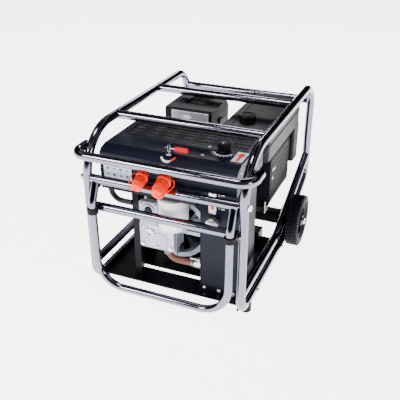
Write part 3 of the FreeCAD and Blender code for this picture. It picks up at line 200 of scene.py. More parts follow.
def mouldedRubber(name, colour, bloom, gloss=0.55):
    paint = Paint(name)
    fine = paint.noise(700, 3, 0.6)
    bloomed = paint.ridged(paint.noise(30, 5, 0.7), 0.45, 0.8)
    return paint.surface({"Base Color": paint.blended(bloomed * 0.6, tint(colour), tint(bloom)),
                          "Roughness": gloss + bloomed * 0.2, "Specular IOR Level": 0.12,
                          "Normal": paint.bumped(fine, 0.0001)})


def wrappedHose(name, colour, bloom, pitch, depth):
    # cloth-wrapped rubber: fine crossing threads over a soft shine
    paint = Paint(name)
    threads = []
    for direction in (1, -1):
        where = paint.scaled((1, direction, 1))
        threads.append(paint.node("ShaderNodeTexWave", {"bands_direction": "DIAGONAL"},
                                  {"Vector": where, "Scale": pitch, "Distortion": 0.4}))
    weave = threads[0] * threads[1]
    clouds = paint.noise(40, 4)
    return paint.surface({"Base Color": paint.blended(weave * 0.5 + clouds * 0.4, tint(colour), tint(bloom)),
                          "Roughness": 0.42 + clouds * 0.2, "Normal": paint.bumped(weave, depth)})


def castMetal(name, colour, shade, metallic=0.9, grain=420, rough=0.38):
    paint = Paint(name)
    sand = paint.noise(grain, 4, 0.75)
    pits = paint.cells(260)
    stains = paint.ridged(paint.noise(22, 5, 0.7), 0.4, 0.8)
    return paint.surface({"Base Color": paint.blended(stains, tint(colour), tint(shade)),
                          "Metallic": metallic, "Roughness": rough + sand * 0.22,
                          "Normal": paint.bumped(sand + pits * 0.4, 0.00025)})


def brushedPlate(name, colour):
    paint = Paint(name)
    strokes = paint.noise(30, 5, 0.7, paint.scaled((1, 30, 30)))
    return paint.surface({"Base Color": paint.blended(strokes, tint(colour), tint(colour, 0.8)),
                          "Metallic": 0.85, "Roughness": 0.2 + strokes * 0.22,
                          "Normal": paint.bumped(strokes, 0.00005)})


def printedInk(name, colour, gloss=0.35):
    paint = Paint(name)
    speckle = paint.noise(500, 3)
    return paint.surface({"Base Color": paint.blended(speckle, tint(colour), tint(colour, 0.86)),
                          "Roughness": gloss + speckle * 0.1})


def heatBlack(name, colour):
    paint = Paint(name)
    scale = paint.noise(300, 5, 0.8)
    tan = paint.ridged(paint.noise(16, 5, 0.7), 0.55, 0.85)
    return paint.surface({"Base Color": paint.blended(tan * 0.5, tint(colour), tint((0.012, 0.010, 0.012))),
                          "Roughness": 0.45 + scale * 0.25, "Specular IOR Level": 0.12,
                          "Normal": paint.bumped(scale, 0.0002)})


navy = (0.0022, 0.0026, 0.009)
finishes = {
    "chrome_tube": polishedTube(),
    "zinc_steel": platedSteel("zinc_steel", (0.72, 0.72, 0.75)),
    "machined_steel": platedSteel("machined_steel", (0.56, 0.56, 0.59), 380),
    "black_coat": powderCoat("black_coat", (0.0016, 0.0016, 0.003), (0.005, 0.005, 0.009)),
    "navy_coat": powderCoat("navy_coat", navy, (0.006, 0.007, 0.019), 0.3),
    "grey_paint": enamel("grey_paint", (0.50, 0.52, 0.62), (0.28, 0.30, 0.40)),
    "white_paint": enamel("white_paint", (0.84, 0.85, 0.90), (0.55, 0.57, 0.68)),
    "black_rubber": mouldedRubber("black_rubber", (0.003, 0.003, 0.004), (0.009, 0.009, 0.011)),
    "tyre_rubber": mouldedRubber("tyre_rubber", (0.003, 0.003, 0.006), (0.008, 0.008, 0.013), 0.6),
    "hose_rubber": wrappedHose("hose_rubber", (0.003, 0.003, 0.004), (0.010, 0.010, 0.012), 260, 0.0003),
    "copper_hose": wrappedHose("copper_hose", (0.22, 0.07, 0.035), (0.06, 0.025, 0.02), 300, 0.0004),
    "orange_rubber": mouldedRubber("orange_rubber", (0.95, 0.022, 0.002), (0.95, 0.06, 0.01), 0.32),
    "red_plastic": mouldedPlastic("red_plastic", (0.85, 0.006, 0.012), 0.25),
    "black_plastic": mouldedPlastic("black_plastic", (0.003, 0.003, 0.005), 0.36),
    "wheel_plastic": mouldedPlastic("wheel_plastic", (0.018, 0.018, 0.026), 0.4),
    "gauge_plastic": enamel("gauge_plastic", (0.72, 0.74, 0.80), (0.4, 0.42, 0.5), 0.12),
    "silver_plate": brushedPlate("silver_plate", (0.86, 0.86, 0.92)),
    "cast_aluminium": castMetal("cast_aluminium", (0.60, 0.60, 0.65), (0.36, 0.36, 0.41)),
    "cast_iron_grey": castMetal("cast_iron_grey", (0.42, 0.43, 0.52), (0.16, 0.17, 0.24), 0.5),
    "cooler_aluminium": castMetal("cooler_aluminium", (0.035, 0.035, 0.042), (0.012, 0.012, 0.016), 0.6),
    "dark_muffler": heatBlack("dark_muffler", (0.002, 0.002, 0.004)),
    "nickel_brass": platedSteel("nickel_brass", (0.82, 0.80, 0.78), 300),
}
inks = {
    "white": printedInk("white_ink", (0.85, 0.86, 0.92)),
    "red": printedInk("red_ink", (0.82, 0.03, 0.03)),
    "blue": printedInk("blue_ink", (0.10, 0.16, 0.42)),
    "pale": printedInk("pale_ink", (0.66, 0.74, 0.92)),
}
slotOfNode = {item["node"]: item["material_slot"] for item in frame["record"]["subparts"]}
for nodeName, item in frame["nodes"].items():
    item.data.materials.clear()
    item.data.materials.append(finishes[slotOfNode[nodeName]])
print("finishes on", len(frame["nodes"]), "frame parts")

stageSet = {"floorSize": 30, "floorColour": (0.92, 0.92, 0.93), "glow": 5.0,
            "aim": (0, 0, 0.3)}
lightSet = {
    "key": {"place": (-1.6, -2.9, 2.2), "size": 0.9, "power": 95},
    "top": {"place": (-0.4, -0.6, 3.6), "size": 0.8, "power": 60},
    "side": {"place": (3.0, -1.4, 1.5), "size": 0.7, "power": 34},
    "back": {"place": (-1.2, 3.4, 2.4), "size": 0.9, "power": 24},
}
cameraSet = {"place": (0.7945, -1.9836, 1.3524), "azimuth": 22.6, "elevation": 28.0, "lens": 54.27,
             "sensor": 36}
skySet = {"strength": 0.9, "blueLift": 1.03,
          "levels": ((0.0, 0.9), (0.5, 0.9), (0.54, 0.5), (0.57, 0.01), (0.80, 0.015), (0.85, 0.7),
                     (0.92, 0.02))}


def makeFloor():
    half = stageSet["floorSize"] / 2
    mesh = bpy.data.meshes.new("floor")
    corners = [(-half, -half, 0), (half, -half, 0), (half, half, 0), (-half, half, 0)]
    mesh.from_pydata(corners, [], [(0, 1, 2, 3)])
    floor = bpy.data.objects.new("floor", mesh)
    bpy.context.scene.collection.objects.link(floor)
    paint = Paint("pale_floor")
    clouds = paint.noise(1.5, 2)
    colour = paint.blended(clouds, tint(stageSet["floorColour"]), tint(stageSet["floorColour"], 0.98))
    mesh.materials.append(paint.surface({"Base Color": colour, "Roughness": 0.7 + clouds * 0.1,
                                         "Emission Color": (1, 1, 1, 1),
                                         "Emission Strength": stageSet["glow"]}))


def makeLights():
    for name, facts in lightSet.items():
        lamp = bpy.data.lights.new(name, "AREA")
        lamp.energy = facts["power"]
        lamp.size = facts["size"]
        holder = bpy.data.objects.new(name, lamp)
        bpy.context.scene.collection.objects.link(holder)
        holder.location = facts["place"]
        aim = Vector(stageSet["aim"]) - Vector(facts["place"])
        holder.rotation_euler = aim.to_track_quat("-Z", "Y").to_euler()


def makeSky():
    # a light tent: bright above, a dark band near the horizon for the tubes to mirror
    world = bpy.data.worlds.new("tent")
    bpy.context.scene.world = world
    paint = Paint("tent", world)
    where = paint.node("ShaderNodeTexCoord", output="Generated")
    height = paint.node("ShaderNodeSeparateXYZ", None, {0: where}, "Z")
    stops = [(position, (level, level, level * skySet["blueLift"], 1))
             for position, level in skySet["levels"]]
    bands = paint.node("ShaderNodeValToRGB", {"stops": stops}, {"Fac": paint.ridged(height, -1, 1)})
    shade = paint.node("ShaderNodeBackground", None, {"Color": bands, "Strength": skySet["strength"]})
    paint.node("ShaderNodeOutputWorld", None, {"Surface": shade})


def makeCamera():
    lens = bpy.data.cameras.new("camera")
    lens.lens = cameraSet["lens"]
    lens.sensor_width = cameraSet["sensor"]
    camera = bpy.data.objects.new("camera", lens)
    bpy.context.scene.collection.objects.link(camera)
    camera.location = cameraSet["place"]
    camera.rotation_euler = (math.radians(90 - cameraSet["elevation"]), 0, math.radians(cameraSet["azimuth"]))
    bpy.context.scene.camera = camera


makeFloor()
makeLights()
makeSky()
makeCamera()
print("stage ready")

# plain shapes are (points, faces) in millimetres: y counts from the front uprights, z from the floor
toRow = Matrix.Translation((0, uprightY, 0)) @ Matrix.Scale(mm, 4)
fromRow = toRow.inverted()
turn = 2 * math.pi


def span(name):
    low, high = (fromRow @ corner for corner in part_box(name))
    return low, high, (low + high) / 2


def joined(*forms):
    points, faces = [], []
    for some, sides in forms:
        faces += [[index + len(points) for index in face] for face in sides]
        points += some
    return points, faces


def moved(form, place=(0, 0, 0), towards=zWay, spin=0.0, stretch=(1, 1, 1)):
    # the shape's own Z axis is laid along towards
    matrix = Matrix.Translation(place) @ zWay.rotation_difference(towards).to_matrix().to_4x4() \
        @ Matrix.Rotation(spin, 4, "Z") @ Matrix.Diagonal((*stretch, 1))
    return [matrix @ point for point in form[0]], form[1]


def lathe(profile, steps=40):
    # profile: (radius, height) pairs; a radius of nought closes an end
    points, faces, rings = [], [], []
    for radius, height in profile:
        if radius == 0:
            rings.append([len(points)])
            points.append(Vector((0, 0, height)))
            continue
        rings.append(list(range(len(points), len(points) + steps)))
        for step in range(steps):
            angle = turn * step / steps
            points.append(Vector((radius * math.cos(angle), radius * math.sin(angle), height)))
    pairs = list(zip(rings, rings[1:]))
    if profile[0][0] > 0 and profile[-1][0] > 0:
        pairs.append((rings[-1], rings[0]))
    for first, second in pairs:
        for step in range(steps):
            follow = (step + 1) % steps
            if len(first) == 1:
                faces.append([first[0], second[step], second[follow]])
            elif len(second) == 1:
                faces.append([first[step], first[follow], second[0]])
            else:
                faces.append([first[step], first[follow], second[follow], second[step]])
    return points, faces


def rolled(form):
    # the shape's own axes x, y, z become y, z, x
    return [Vector((point.z, point.x, point.y)) for point in form[0]], form[1]


def rod(radius, length, bevel=0.4, steps=24):
    return lathe([(0, 0), (radius - bevel, 0), (radius, bevel), (radius, length - bevel),
                  (radius - bevel, length), (0, length)], steps)


def torus(radius, thickness, steps=40, around=10):
    ring = [(radius + thickness * math.cos(turn * step / around), thickness * math.sin(turn * step / around))
            for step in range(around)]
    return lathe(ring, steps)


def roundedBox(width, depth, corner, arcs=4):
    outline = []
    for index, (sideX, sideY) in enumerate(((1, 1), (-1, 1), (-1, -1), (1, -1))):
        for step in range(arcs + 1):
            angle = turn * (index + step / arcs) / 4
            outline.append((sideX * (width / 2 - corner) + corner * math.cos(angle),
                            sideY * (depth / 2 - corner) + corner * math.sin(angle)))
    return outline


def inset(outline, distance):
    shrunk = []
    for index, corner in enumerate(outline):
        before = Vector(corner) - Vector(outline[index - 1])
        after = Vector(outline[(index + 1) % len(outline)]) - Vector(corner)
        normal = Vector((-before.y, before.x)).normalized() + Vector((-after.y, after.x)).normalized()
        normal /= max(0.35, normal.length_squared / 2)
        shrunk.append(tuple(Vector(corner) + normal * distance))
    return shrunk


def slab(outline, height, bevel=0.5, low=0.0):
    # an outline drawn anticlockwise, raised to a bevelled plate
    rings = [(0, low), (0, height - bevel), (bevel, height)]
    if bevel == 0:
        rings = [(0, low), (0, height)]
    points, faces = [], []
    size = len(outline)
    for distance, level in rings:
        points += [Vector((x, y, level)) for x, y in (inset(outline, distance) if distance else outline)]
    for ring in range(len(rings) - 1):
        for step in range(size):
            follow = (step + 1) % size
            faces.append([ring * size + step, ring * size + follow,
                          (ring + 1) * size + follow, (ring + 1) * size + step])
    faces.append(list(range(size))[::-1])
    faces.append([len(points) - size + step for step in range(size)])
    return points, faces


def frameBand(outline, width, height, bevel=0.5):
    # a raised picture-frame band lying inside the outline
    size = len(outline)
    rings = [(0, 0), (0, height - bevel), (bevel, height), (width - bevel, height), (width, height - bevel),
             (width, 0)]
    points, faces = [], []
    for distance, level in rings:
        points += [Vector((x, y, level)) for x, y in (inset(outline, distance) if distance else outline)]
    for ring in range(len(rings)):
        nextRing = (ring + 1) % len(rings)
        for step in range(size):
            follow = (step + 1) % size
            faces.append([ring * size + step, ring * size + follow,
                          nextRing * size + follow, nextRing * size + step])
    return points, faces


def smooth(corners, steps=8):
    # a soft line through the corners
    line = [Vector(corner) for corner in corners]
    line = [2 * line[0] - line[1]] + line + [2 * line[-1] - line[-2]]
    path = []
    for a, b, c, d in zip(line, line[1:], line[2:], line[3:]):
        for step in range(steps):
            t = step / steps
            path.append(0.5 * (2 * b + (c - a) * t + (2 * a - 5 * b + 4 * c - d) * t ** 2
                               + (3 * b - a - 3 * c + d) * t ** 3))
    return path + [line[-2]]


def bar(path, across, thick=None, steps=12, up=zWay):
    # a round bar, or a flat strap when thick is given; its ends are closed
    thick = thick or across
    points, faces = [], []
    side = None
    for index, place in enumerate(path):
        ahead = (path[min(index + 1, len(path) - 1)] - path[max(index - 1, 0)]).normalized()
        side = ahead.cross(up if side is None else ahead.cross(side) * -1).normalized()
        rise = side.cross(ahead).normalized()
        for step in range(steps):
            angle = turn * step / steps
            points.append(place + side * across / 2 * math.cos(angle) + rise * thick / 2 * math.sin(angle))
    for index in range(len(path) - 1):
        for step in range(steps):
            follow = (step + 1) % steps
            faces.append([index * steps + step, index * steps + follow,
                          (index + 1) * steps + follow, (index + 1) * steps + step])
    faces.append(list(range(steps))[::-1])
    faces.append([len(points) - steps + step for step in range(steps)])
    return points, faces


trees = {}


def touch(node, start, way):
    # where a ray from start first meets that frame part, and which way it faces there
    if node not in trees:
        item = frame["nodes"][node]
        corners = [fromRow @ vertex.co for vertex in item.data.vertices]
        trees[node] = BVHTree.FromPolygons(corners, [list(face.vertices) for face in item.data.polygons])
    place, normal, _, _ = trees[node].ray_cast(Vector(start), way)
    return (place, normal) if place else (None, None)


def sheeted(rows, thickness, under):
    # a closed thin sheet over a grid of (place, normal) pairs
    wide = len(rows[0])
    places = [spot for line in rows for spot in line]
    size = len(places)
    points = [place + normal * thickness for place, normal in places] \
        + [place - normal * under for place, normal in places]
    faces = []
    for line in range(len(rows) - 1):
        for column in range(wide - 1):
            first = line * wide + column
            quad = [first, first + 1, first + wide + 1, first + wide]
            faces += [quad, [index + size for index in quad[::-1]]]
    rim = list(range(wide)) + [line * wide + wide - 1 for line in range(1, len(rows))]
    rim += [(len(rows) - 1) * wide + column for column in range(wide - 2, -1, -1)]
    rim += [line * wide for line in range(len(rows) - 2, 0, -1)]
    for first, second in zip(rim, rim[1:] + rim[:1]):
        faces.append([second, first, first + size, second + size])
    return points, faces


def draped(rows, node, way, thickness=0.5):
    # a thin printed sheet that follows the surface under a grid of points
    spots = []
    for line in rows:
        hits = [(Vector(corner), touch(node, Vector(corner) - way * 60, way)) for corner in line]
        spots.append([hit if hit[0] else (corner, -way) for corner, hit in hits])
    return sheeted(spots, thickness, 0.3)


def polar(radius, degrees):
    return radius * math.cos(math.radians(degrees)), radius * math.sin(math.radians(degrees))


def arcRows(middle, inner, outer, start, end, steps=24, level=600):
    rows = []
    for radius in (inner, (inner + outer) / 2, outer):
        spots = [polar(radius, start + (end - start) * step / steps) for step in range(steps + 1)]
        rows.append([(middle[0] + x, middle[1] + y, level) for x, y in spots])
    return rows


def meshOf(name, form):
    mesh = bpy.data.meshes.new(name)
    mesh.from_pydata([tuple(point) for point in form[0]], [], form[1])
    work = bmesh.new()
    work.from_mesh(mesh)
    bmesh.ops.recalc_face_normals(work, faces=work.faces)
    work.to_mesh(mesh)
    work.free()
    return mesh


def place(name, shape, coat, body="root", slot=None, replaces=()):
    mesh = shape if isinstance(shape, bpy.types.Mesh) else meshOf(name, shape)
    mesh.transform(toRow)
    mesh.materials.clear()
    mesh.materials.append(finishes[coat] if coat in finishes else inks[coat])
    mesh.shade_smooth()
    mesh.set_sharp_from_angle(angle=math.radians(34))
    piece = bpy.data.objects.new(name, mesh)
    bpy.context.scene.collection.objects.link(piece)
    if body:
        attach(piece, body)
    if replaces:
        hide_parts(*replaces)
    return piece


def port(sockets, key):
    if isinstance(key, int):
        return sockets[key]
    return next(socket for socket in sockets if socket.name == key and socket.enabled)


class Growth:
    # studs on points: a node tree with named inputs, ending in Realize Instances and Set Material
    def __init__(self, name, inputs):
        self.tree = bpy.data.node_groups.new(name, "GeometryNodeTree")
        self.keys = {}
        shared = {"Stud": "Object", "Coat": "Material", "Vary": "Float", "Seed": "Int"}
        for label, kind in {**inputs, **shared}.items():
            made = self.tree.interface.new_socket(name=label, in_out="INPUT", socket_type="NodeSocket" + kind)
            self.keys[label] = made.identifier
        self.tree.interface.new_socket(name="Grown", in_out="OUTPUT", socket_type="NodeSocketGeometry")
        self.entry = self.tree.nodes.new("NodeGroupInput")

    def given(self, label):
        return port(self.entry.outputs, label)

    def node(self, kind, settings=None, sockets=None, output=None):
        made = self.tree.nodes.new(kind)
        for key, setting in (settings or {}).items():
            setattr(made, key, setting)
        for key, source in (sockets or {}).items():
            if isinstance(source, bpy.types.NodeSocket):
                self.tree.links.new(source, port(made.inputs, key))
            else:
                port(made.inputs, key).default_value = source
        if output is not None:
            return port(made.outputs, output)
        return next((socket for socket in made.outputs if socket.enabled), None)

    def chance(self, low, high):
        return self.node("FunctionNodeRandomValue", {"data_type": "FLOAT"},
                         {"Min": low, "Max": high, "Seed": self.given("Seed")})

    def varied(self):
        least = self.node("ShaderNodeMath", {"operation": "SUBTRACT"}, {0: 1.0, 1: self.given("Vary")})
        return self.chance(least, 1.0)

    def end(self, points, **sockets):
        stud = self.node("GeometryNodeObjectInfo", None, {"Object": self.given("Stud")}, "Geometry")
        studs = self.node("GeometryNodeInstanceOnPoints", None,
                          {"Points": points, "Instance": stud, **sockets})
        real = self.node("GeometryNodeRealizeInstances", None, {"Geometry": studs})
        coated = self.node("GeometryNodeSetMaterial", None,
                           {"Geometry": real, "Material": self.given("Coat")})
        self.node("NodeGroupOutput", None, {0: coated})
        return self

    def grow(self, stud, coat, host=None, Vary=0.0, Seed=1, **values):
        seedling = bpy.data.objects.new("stud", meshOf("stud", stud))
        holder = bpy.data.objects.new("holder", host or bpy.data.meshes.new("holder"))
        bpy.context.scene.collection.objects.link(holder)
        modifier = holder.modifiers.new("growth", "NODES")
        modifier.node_group = self.tree
        facts = {"Stud": seedling, "Coat": finishes[coat], "Vary": Vary, "Seed": Seed, **values}
        for label, fact in facts.items():
            modifier[self.keys[label]] = fact
        shown = holder.evaluated_get(bpy.context.evaluated_depsgraph_get())
        mesh = bpy.data.meshes.new_from_object(shown)
        bpy.data.objects.remove(holder)
        bpy.data.objects.remove(seedling)
        return mesh


def scatterTree():
    # a stud on every point, turned to the point's facing, spun and sized a little at random
    tree = Growth("scatter", {"Points": "Geometry", "Spin": "Float"})
    facing = tree.node("GeometryNodeInputNamedAttribute", {"data_type": "FLOAT_VECTOR"}, {"Name": "facing"})
    aimed = tree.node("FunctionNodeAlignRotationToVector", {"axis": "Z"}, {"Vector": facing})
    spin = tree.node("ShaderNodeCombineXYZ", None, {"Z": tree.chance(0.0, tree.given("Spin"))})
    spun = tree.node("FunctionNodeRotateRotation", {"rotation_space": "LOCAL"},
                     {"Rotation": aimed, "Rotate By": spin})
    return tree.end(tree.given("Points"), Rotation=spun, Scale=tree.varied())


def circleTree():
    # studs round a circle, each turned to face outward
    tree = Growth("circle", {"Count": "Int", "Radius": "Float"})
    ring = tree.node("GeometryNodeMeshCircle", None,
                     {"Vertices": tree.given("Count"), "Radius": tree.given("Radius")})
    share = tree.node("ShaderNodeMath", {"operation": "DIVIDE"},
                      {0: tree.node("GeometryNodeInputIndex"), 1: tree.given("Count")})
    angle = tree.node("ShaderNodeMath", {"operation": "MULTIPLY"}, {0: share, 1: turn})
    turned = tree.node("ShaderNodeCombineXYZ", None, {"Z": angle})
    return tree.end(ring, Rotation=turned, Scale=tree.varied())


def rowTree():
    # studs along a straight row
    tree = Growth("row", {"Count": "Int", "Start": "Vector", "Step": "Vector"})
    line = tree.node("GeometryNodeMeshLine", {"mode": "OFFSET"},
                     {"Count": tree.given("Count"), "Start Location": tree.given("Start"),
                      "Offset": tree.given("Step")})
    return tree.end(line, Scale=tree.varied())


scatter, circle, row = scatterTree(), circleTree(), rowTree()


def studded(name, stud, spots, vary=0.0, spin=turn):
    # zinc studs at (point, facing) spots, as one piece
    host = bpy.data.meshes.new("places")
    host.from_pydata([tuple(point) for point, _ in spots], [], [])
    facts = host.attributes.new("facing", "FLOAT_VECTOR", "POINT")
    facts.data.foreach_set("vector", [part for _, facing in spots for part in facing])
    place(name, scatter.grow(stud, "zinc_steel", host, Spin=spin, Vary=vary, Seed=5), "zinc_steel")


def merged(*shapes):
    # several meshes or plain shapes as one plain shape
    forms = []
    for shape in shapes:
        if isinstance(shape, bpy.types.Mesh):
            shape = ([vertex.co.copy() for vertex in shape.vertices],
                     [list(face.vertices) for face in shape.polygons])
        forms.append(shape)
    return joined(*forms)


def socketScrew(radius=4.0, height=3.0):
    # a button head with a six-sided recess
    return lathe([(0, 0), (radius, 0), (radius, height * 0.45), (radius * 0.8, height * 0.85),
                  (radius * 0.45, height), (radius * 0.42, height * 0.4), (0, height * 0.4)], 12)


def hexHead(radius=6.0, height=4.0):
    washer = lathe([(0, 0), (radius * 1.25, 0), (radius * 1.25, 1), (0, 1)], 16)
    head = lathe([(0, 1), (radius, 1), (radius, height - 0.8), (radius * 0.84, height), (0, height)], 6)
    return joined(washer, head)


print("tools ready")

console, knobAt, leverAt = span("control_console"), span("flow_knob"), span("valve_lever")
topLevel = touch("control_console", (-60, 110, 700), -zWay)[0].z
frontLevel = touch("control_console", (-180, -100, 470), yWay)[0].y
cardSet = {"low": (-236, 442), "high": (-128, 509), "corner": 5, "thick": 1.2, "header": 14, "rows": 2,
           "columns": 4, "markRadius": 6.2}
iconSet = {"height": 0.5, "places": {"chevron": (-28, 109), "bars": (19, 111), "triangle": (103, 100),
                                     "dot": (99, 172)}}
scaleSet = {"start": 198, "end": 342, "inner": 31, "outer": 35, "ticks": 9, "tickLength": 7,
            "tickHalf": 1.6, "leverRing": (24, 30)}
arrowSet = {"low": (205, 88), "high": (243, 166), "border": 3}
ventSet = {"low": (-222, 184), "high": (222, 283), "finStep": 6.0, "finThick": 0.7, "tubes": 7,
           "guardStep": 11, "guardWire": 1.8}
rivetSet = {"ys": (62, 110, 160, 210, 258), "z": 414, "radius": 4.2}


def flatFront(form, x, z, lift=0.0):
    # lies on the console's front, its own Y axis upward
    return moved(form, (x, frontLevel - lift, z), -yWay)


def makeCard():
    (lowX, lowZ), (highX, highZ) = cardSet["low"], cardSet["high"]
    wide, tall = highX - lowX, highZ - lowZ
    middle = ((lowX + highX) / 2, (lowZ + highZ) / 2)
    board = flatFront(slab(roundedBox(wide, tall, cardSet["corner"]), cardSet["thick"], 0.3, -2), *middle)
    place("card_board", board, "pale")
    header = slab(roundedBox(wide - 5, cardSet["header"], 2), 0.4, 0, 0)
    header = flatFront(header, middle[0], highZ - cardSet["header"] / 2 - 3, cardSet["thick"])
    place("card_header", header, "red")
    marks, tiles = [], []
    stepX = (wide - 8) / cardSet["columns"]
    stepZ = (tall - cardSet["header"] - 7) / cardSet["rows"]
    for index in range(cardSet["rows"] * cardSet["columns"]):
        across, down = index % cardSet["columns"], index // cardSet["columns"]
        x = lowX + 4 + stepX * (across + 0.5)
        z = lowZ + 3 + stepZ * (cardSet["rows"] - down - 0.5)
        tiles.append(flatFront(slab(roundedBox(stepX - 3, stepZ - 3, 2), 0.35, 0, 0), x, z, cardSet["thick"]))
        count = 3 if (across + down) % 2 else 24
        radius = cardSet["markRadius"] * (1.15 if count == 3 else 1)
        shape = [polar(radius, 360 * step / count + 90) for step in range(count)]
        marks.append(flatFront(slab(shape, 0.6, 0.1, 0), x, z, cardSet["thick"]))
    place("card_tiles", joined(*tiles), "white")
    place("card_marks", joined(*marks), "blue")


def makeIcons():
    spots = iconSet["places"]
    height = iconSet["height"]
    chevron = [(-9, -5), (0, 3), (9, -5), (9, 1), (0, 9), (-9, 1)]
    triangle = [(-6, -5), (6, -5), (0, 6)]
    stripe = roundedBox(16, 3.4, 1.2)
    barsX, barsY = spots["bars"]
    pieces = [moved(slab(outline, height, 0, -0.3), (x, y, topLevel))
              for outline, (x, y) in ((chevron, spots["chevron"]), (stripe, (barsX, barsY + 4)),
                                      (stripe, (barsX, barsY - 4)), (triangle, spots["triangle"]))]
    pieces.append(moved(rod(4.2, height, 0.1), (*spots["dot"], topLevel)))
    place("console_icons", joined(*pieces), "white")


def makeScales():
    middle = (knobAt[2].x, knobAt[2].y)
    white = [draped(arcRows(middle, scaleSet["inner"], scaleSet["outer"], scaleSet["start"], scaleSet["end"]),
                    "control_console", -zWay)]
    for index in range(scaleSet["ticks"]):
        angle = scaleSet["start"] + (scaleSet["end"] - scaleSet["start"]) * index / (scaleSet["ticks"] - 1)
        tick = arcRows(middle, scaleSet["outer"] + 2, scaleSet["outer"] + 2 + scaleSet["tickLength"],
                       angle - scaleSet["tickHalf"], angle + scaleSet["tickHalf"], 2)
        white.append(draped(tick, "control_console", -zWay))
    post = (leverAt[0].x + 7, (leverAt[0].y + leverAt[1].y) / 2)
    white.append(draped(arcRows(post, *scaleSet["leverRing"], 212, 296, 20), "control_console", -zWay))
    place("printed_scales", joined(*white), "white")
    warning = draped(arcRows(post, *scaleSet["leverRing"], 298, 345, 14), "control_console", -zWay)
    place("lever_warning_arc", warning, "red")
    (lowX, lowY), (highX, highY) = arrowSet["low"], arrowSet["high"]
    middleX, middleY = (lowX + highX) / 2, (lowY + highY) / 2
    edge = arrowSet["border"]

    def sheet(x0, x1, y0, y1, thick):
        rows = [[(x0 + (x1 - x0) * step / 6, y0 + (y1 - y0) * line / 10, 600) for step in range(7)]
                for line in range(11)]
        return draped(rows, "control_console", -zWay, thick)

    place("arrow_label", sheet(lowX, highX, lowY, highY, 0.4), "white")
    shaft = sheet(middleX - 5, middleX + 5, lowY + edge, middleY + 6, 0.8)
    rows = []
    for line in range(9):
        half = (highX - lowX) / 2 * (1 - line / 8) - edge * (1 - line / 8) + 0.3
        y = middleY + 6 + (highY - middleY - 6 - edge) * line / 8
        rows.append([(middleX + half * (step / 4 - 1), y, 600) for step in range(9)])
    place("arrow_mark", joined(shaft, draped(rows, "control_console", -zWay, 0.8)), "red")


def makeVent():
    (lowX, lowY), (highX, highY) = ventSet["low"], ventSet["high"]
    top = span("cooler_core")[1].z
    depth = (highY - lowY) / ventSet["tubes"]
    halfThick, halfDepth = ventSet["finThick"] / 2, depth / 2 - 2.4
    fin = slab([(-halfThick, -halfDepth), (halfThick, -halfDepth), (halfThick, halfDepth),
                (-halfThick, halfDepth)], top + 1.2, 0, top - 0.5)
    count = int((highX - lowX) / ventSet["finStep"])
    fins = []
    for index in range(ventSet["tubes"]):
        y = lowY + depth * (index + 0.5)
        fins.append(row.grow(fin, "cooler_aluminium", Count=count, Start=(lowX + 3, y, 0),
                             Step=(ventSet["finStep"], 0, 0), Seed=index))
    place("cooler_fins", merged(*fins), "cast_aluminium", "root", "cooler_aluminium")
    tube = slab(roundedBox(highX - lowX, 3.6, 1.6), top + 1.8, 0.5, top - 0.5)
    tubes = [moved(tube, (0, lowY + depth * index, 0)) for index in range(1, ventSet["tubes"])]
    place("cooler_tubes", joined(*tubes), "cooler_aluminium")
    level = topLevel + 0.4
    wire = bar([Vector((0, lowY - 6, level)), Vector((0, lowY + 20, level + 0.8)),
                Vector((0, highY - 20, level + 0.8)), Vector((0, highY + 6, level))],
               ventSet["guardWire"], steps=8)
    wires = row.grow(wire, "black_coat", Count=int((highX - lowX) / ventSet["guardStep"]) + 1,
                     Start=(lowX, 0, 0), Step=(ventSet["guardStep"], 0, 0), Seed=3)
    rails = [bar([Vector((lowX - 4, lowY + (highY - lowY) * share, level - 0.6)),
                  Vector((highX + 4, lowY + (highY - lowY) * share, level - 0.6))], 2.6, steps=8)
             for share in (0.2, 0.5, 0.8)]
    rim = moved(frameBand(roundedBox(highX - lowX + 16, highY - lowY + 16, 8), 6, 1.6),
                ((lowX + highX) / 2, (lowY + highY) / 2, topLevel - 0.4))
    place("vent_guard", merged(wires, rim, *rails), "black_coat")


def makeRivets():
    spots = []
    for side in (-1, 1):
        for y in rivetSet["ys"]:
            for z in (rivetSet["z"], topLevel - 22):
                hit, normal = touch("control_console", (side * 400, y, z), xWay * -side)
                if hit:
                    spots.append((hit, normal))
    for x in (-232, -116, 116, 205):
        hit, normal = touch("control_console", (x, -200, 418), yWay)
        if hit:
            spots.append((hit, normal))
    studded("console_screws", socketScrew(rivetSet["radius"], 2.8), spots, 0.04)
    seam = [Vector((side * (console[1].x - 0.2), y, topLevel - 12)) for side, y in ((1, 48), (1, 296))]
    mirrored = [Vector((-point.x, point.y, point.z)) for point in seam]
    place("console_seam", joined(bar(seam, 1.6, steps=6), bar(mirrored, 1.6, steps=6)), "navy_coat")


knobSet = {"skirt": 24, "grip": 20.5, "ridges": 28, "ridge": 1.7, "cap": 16}


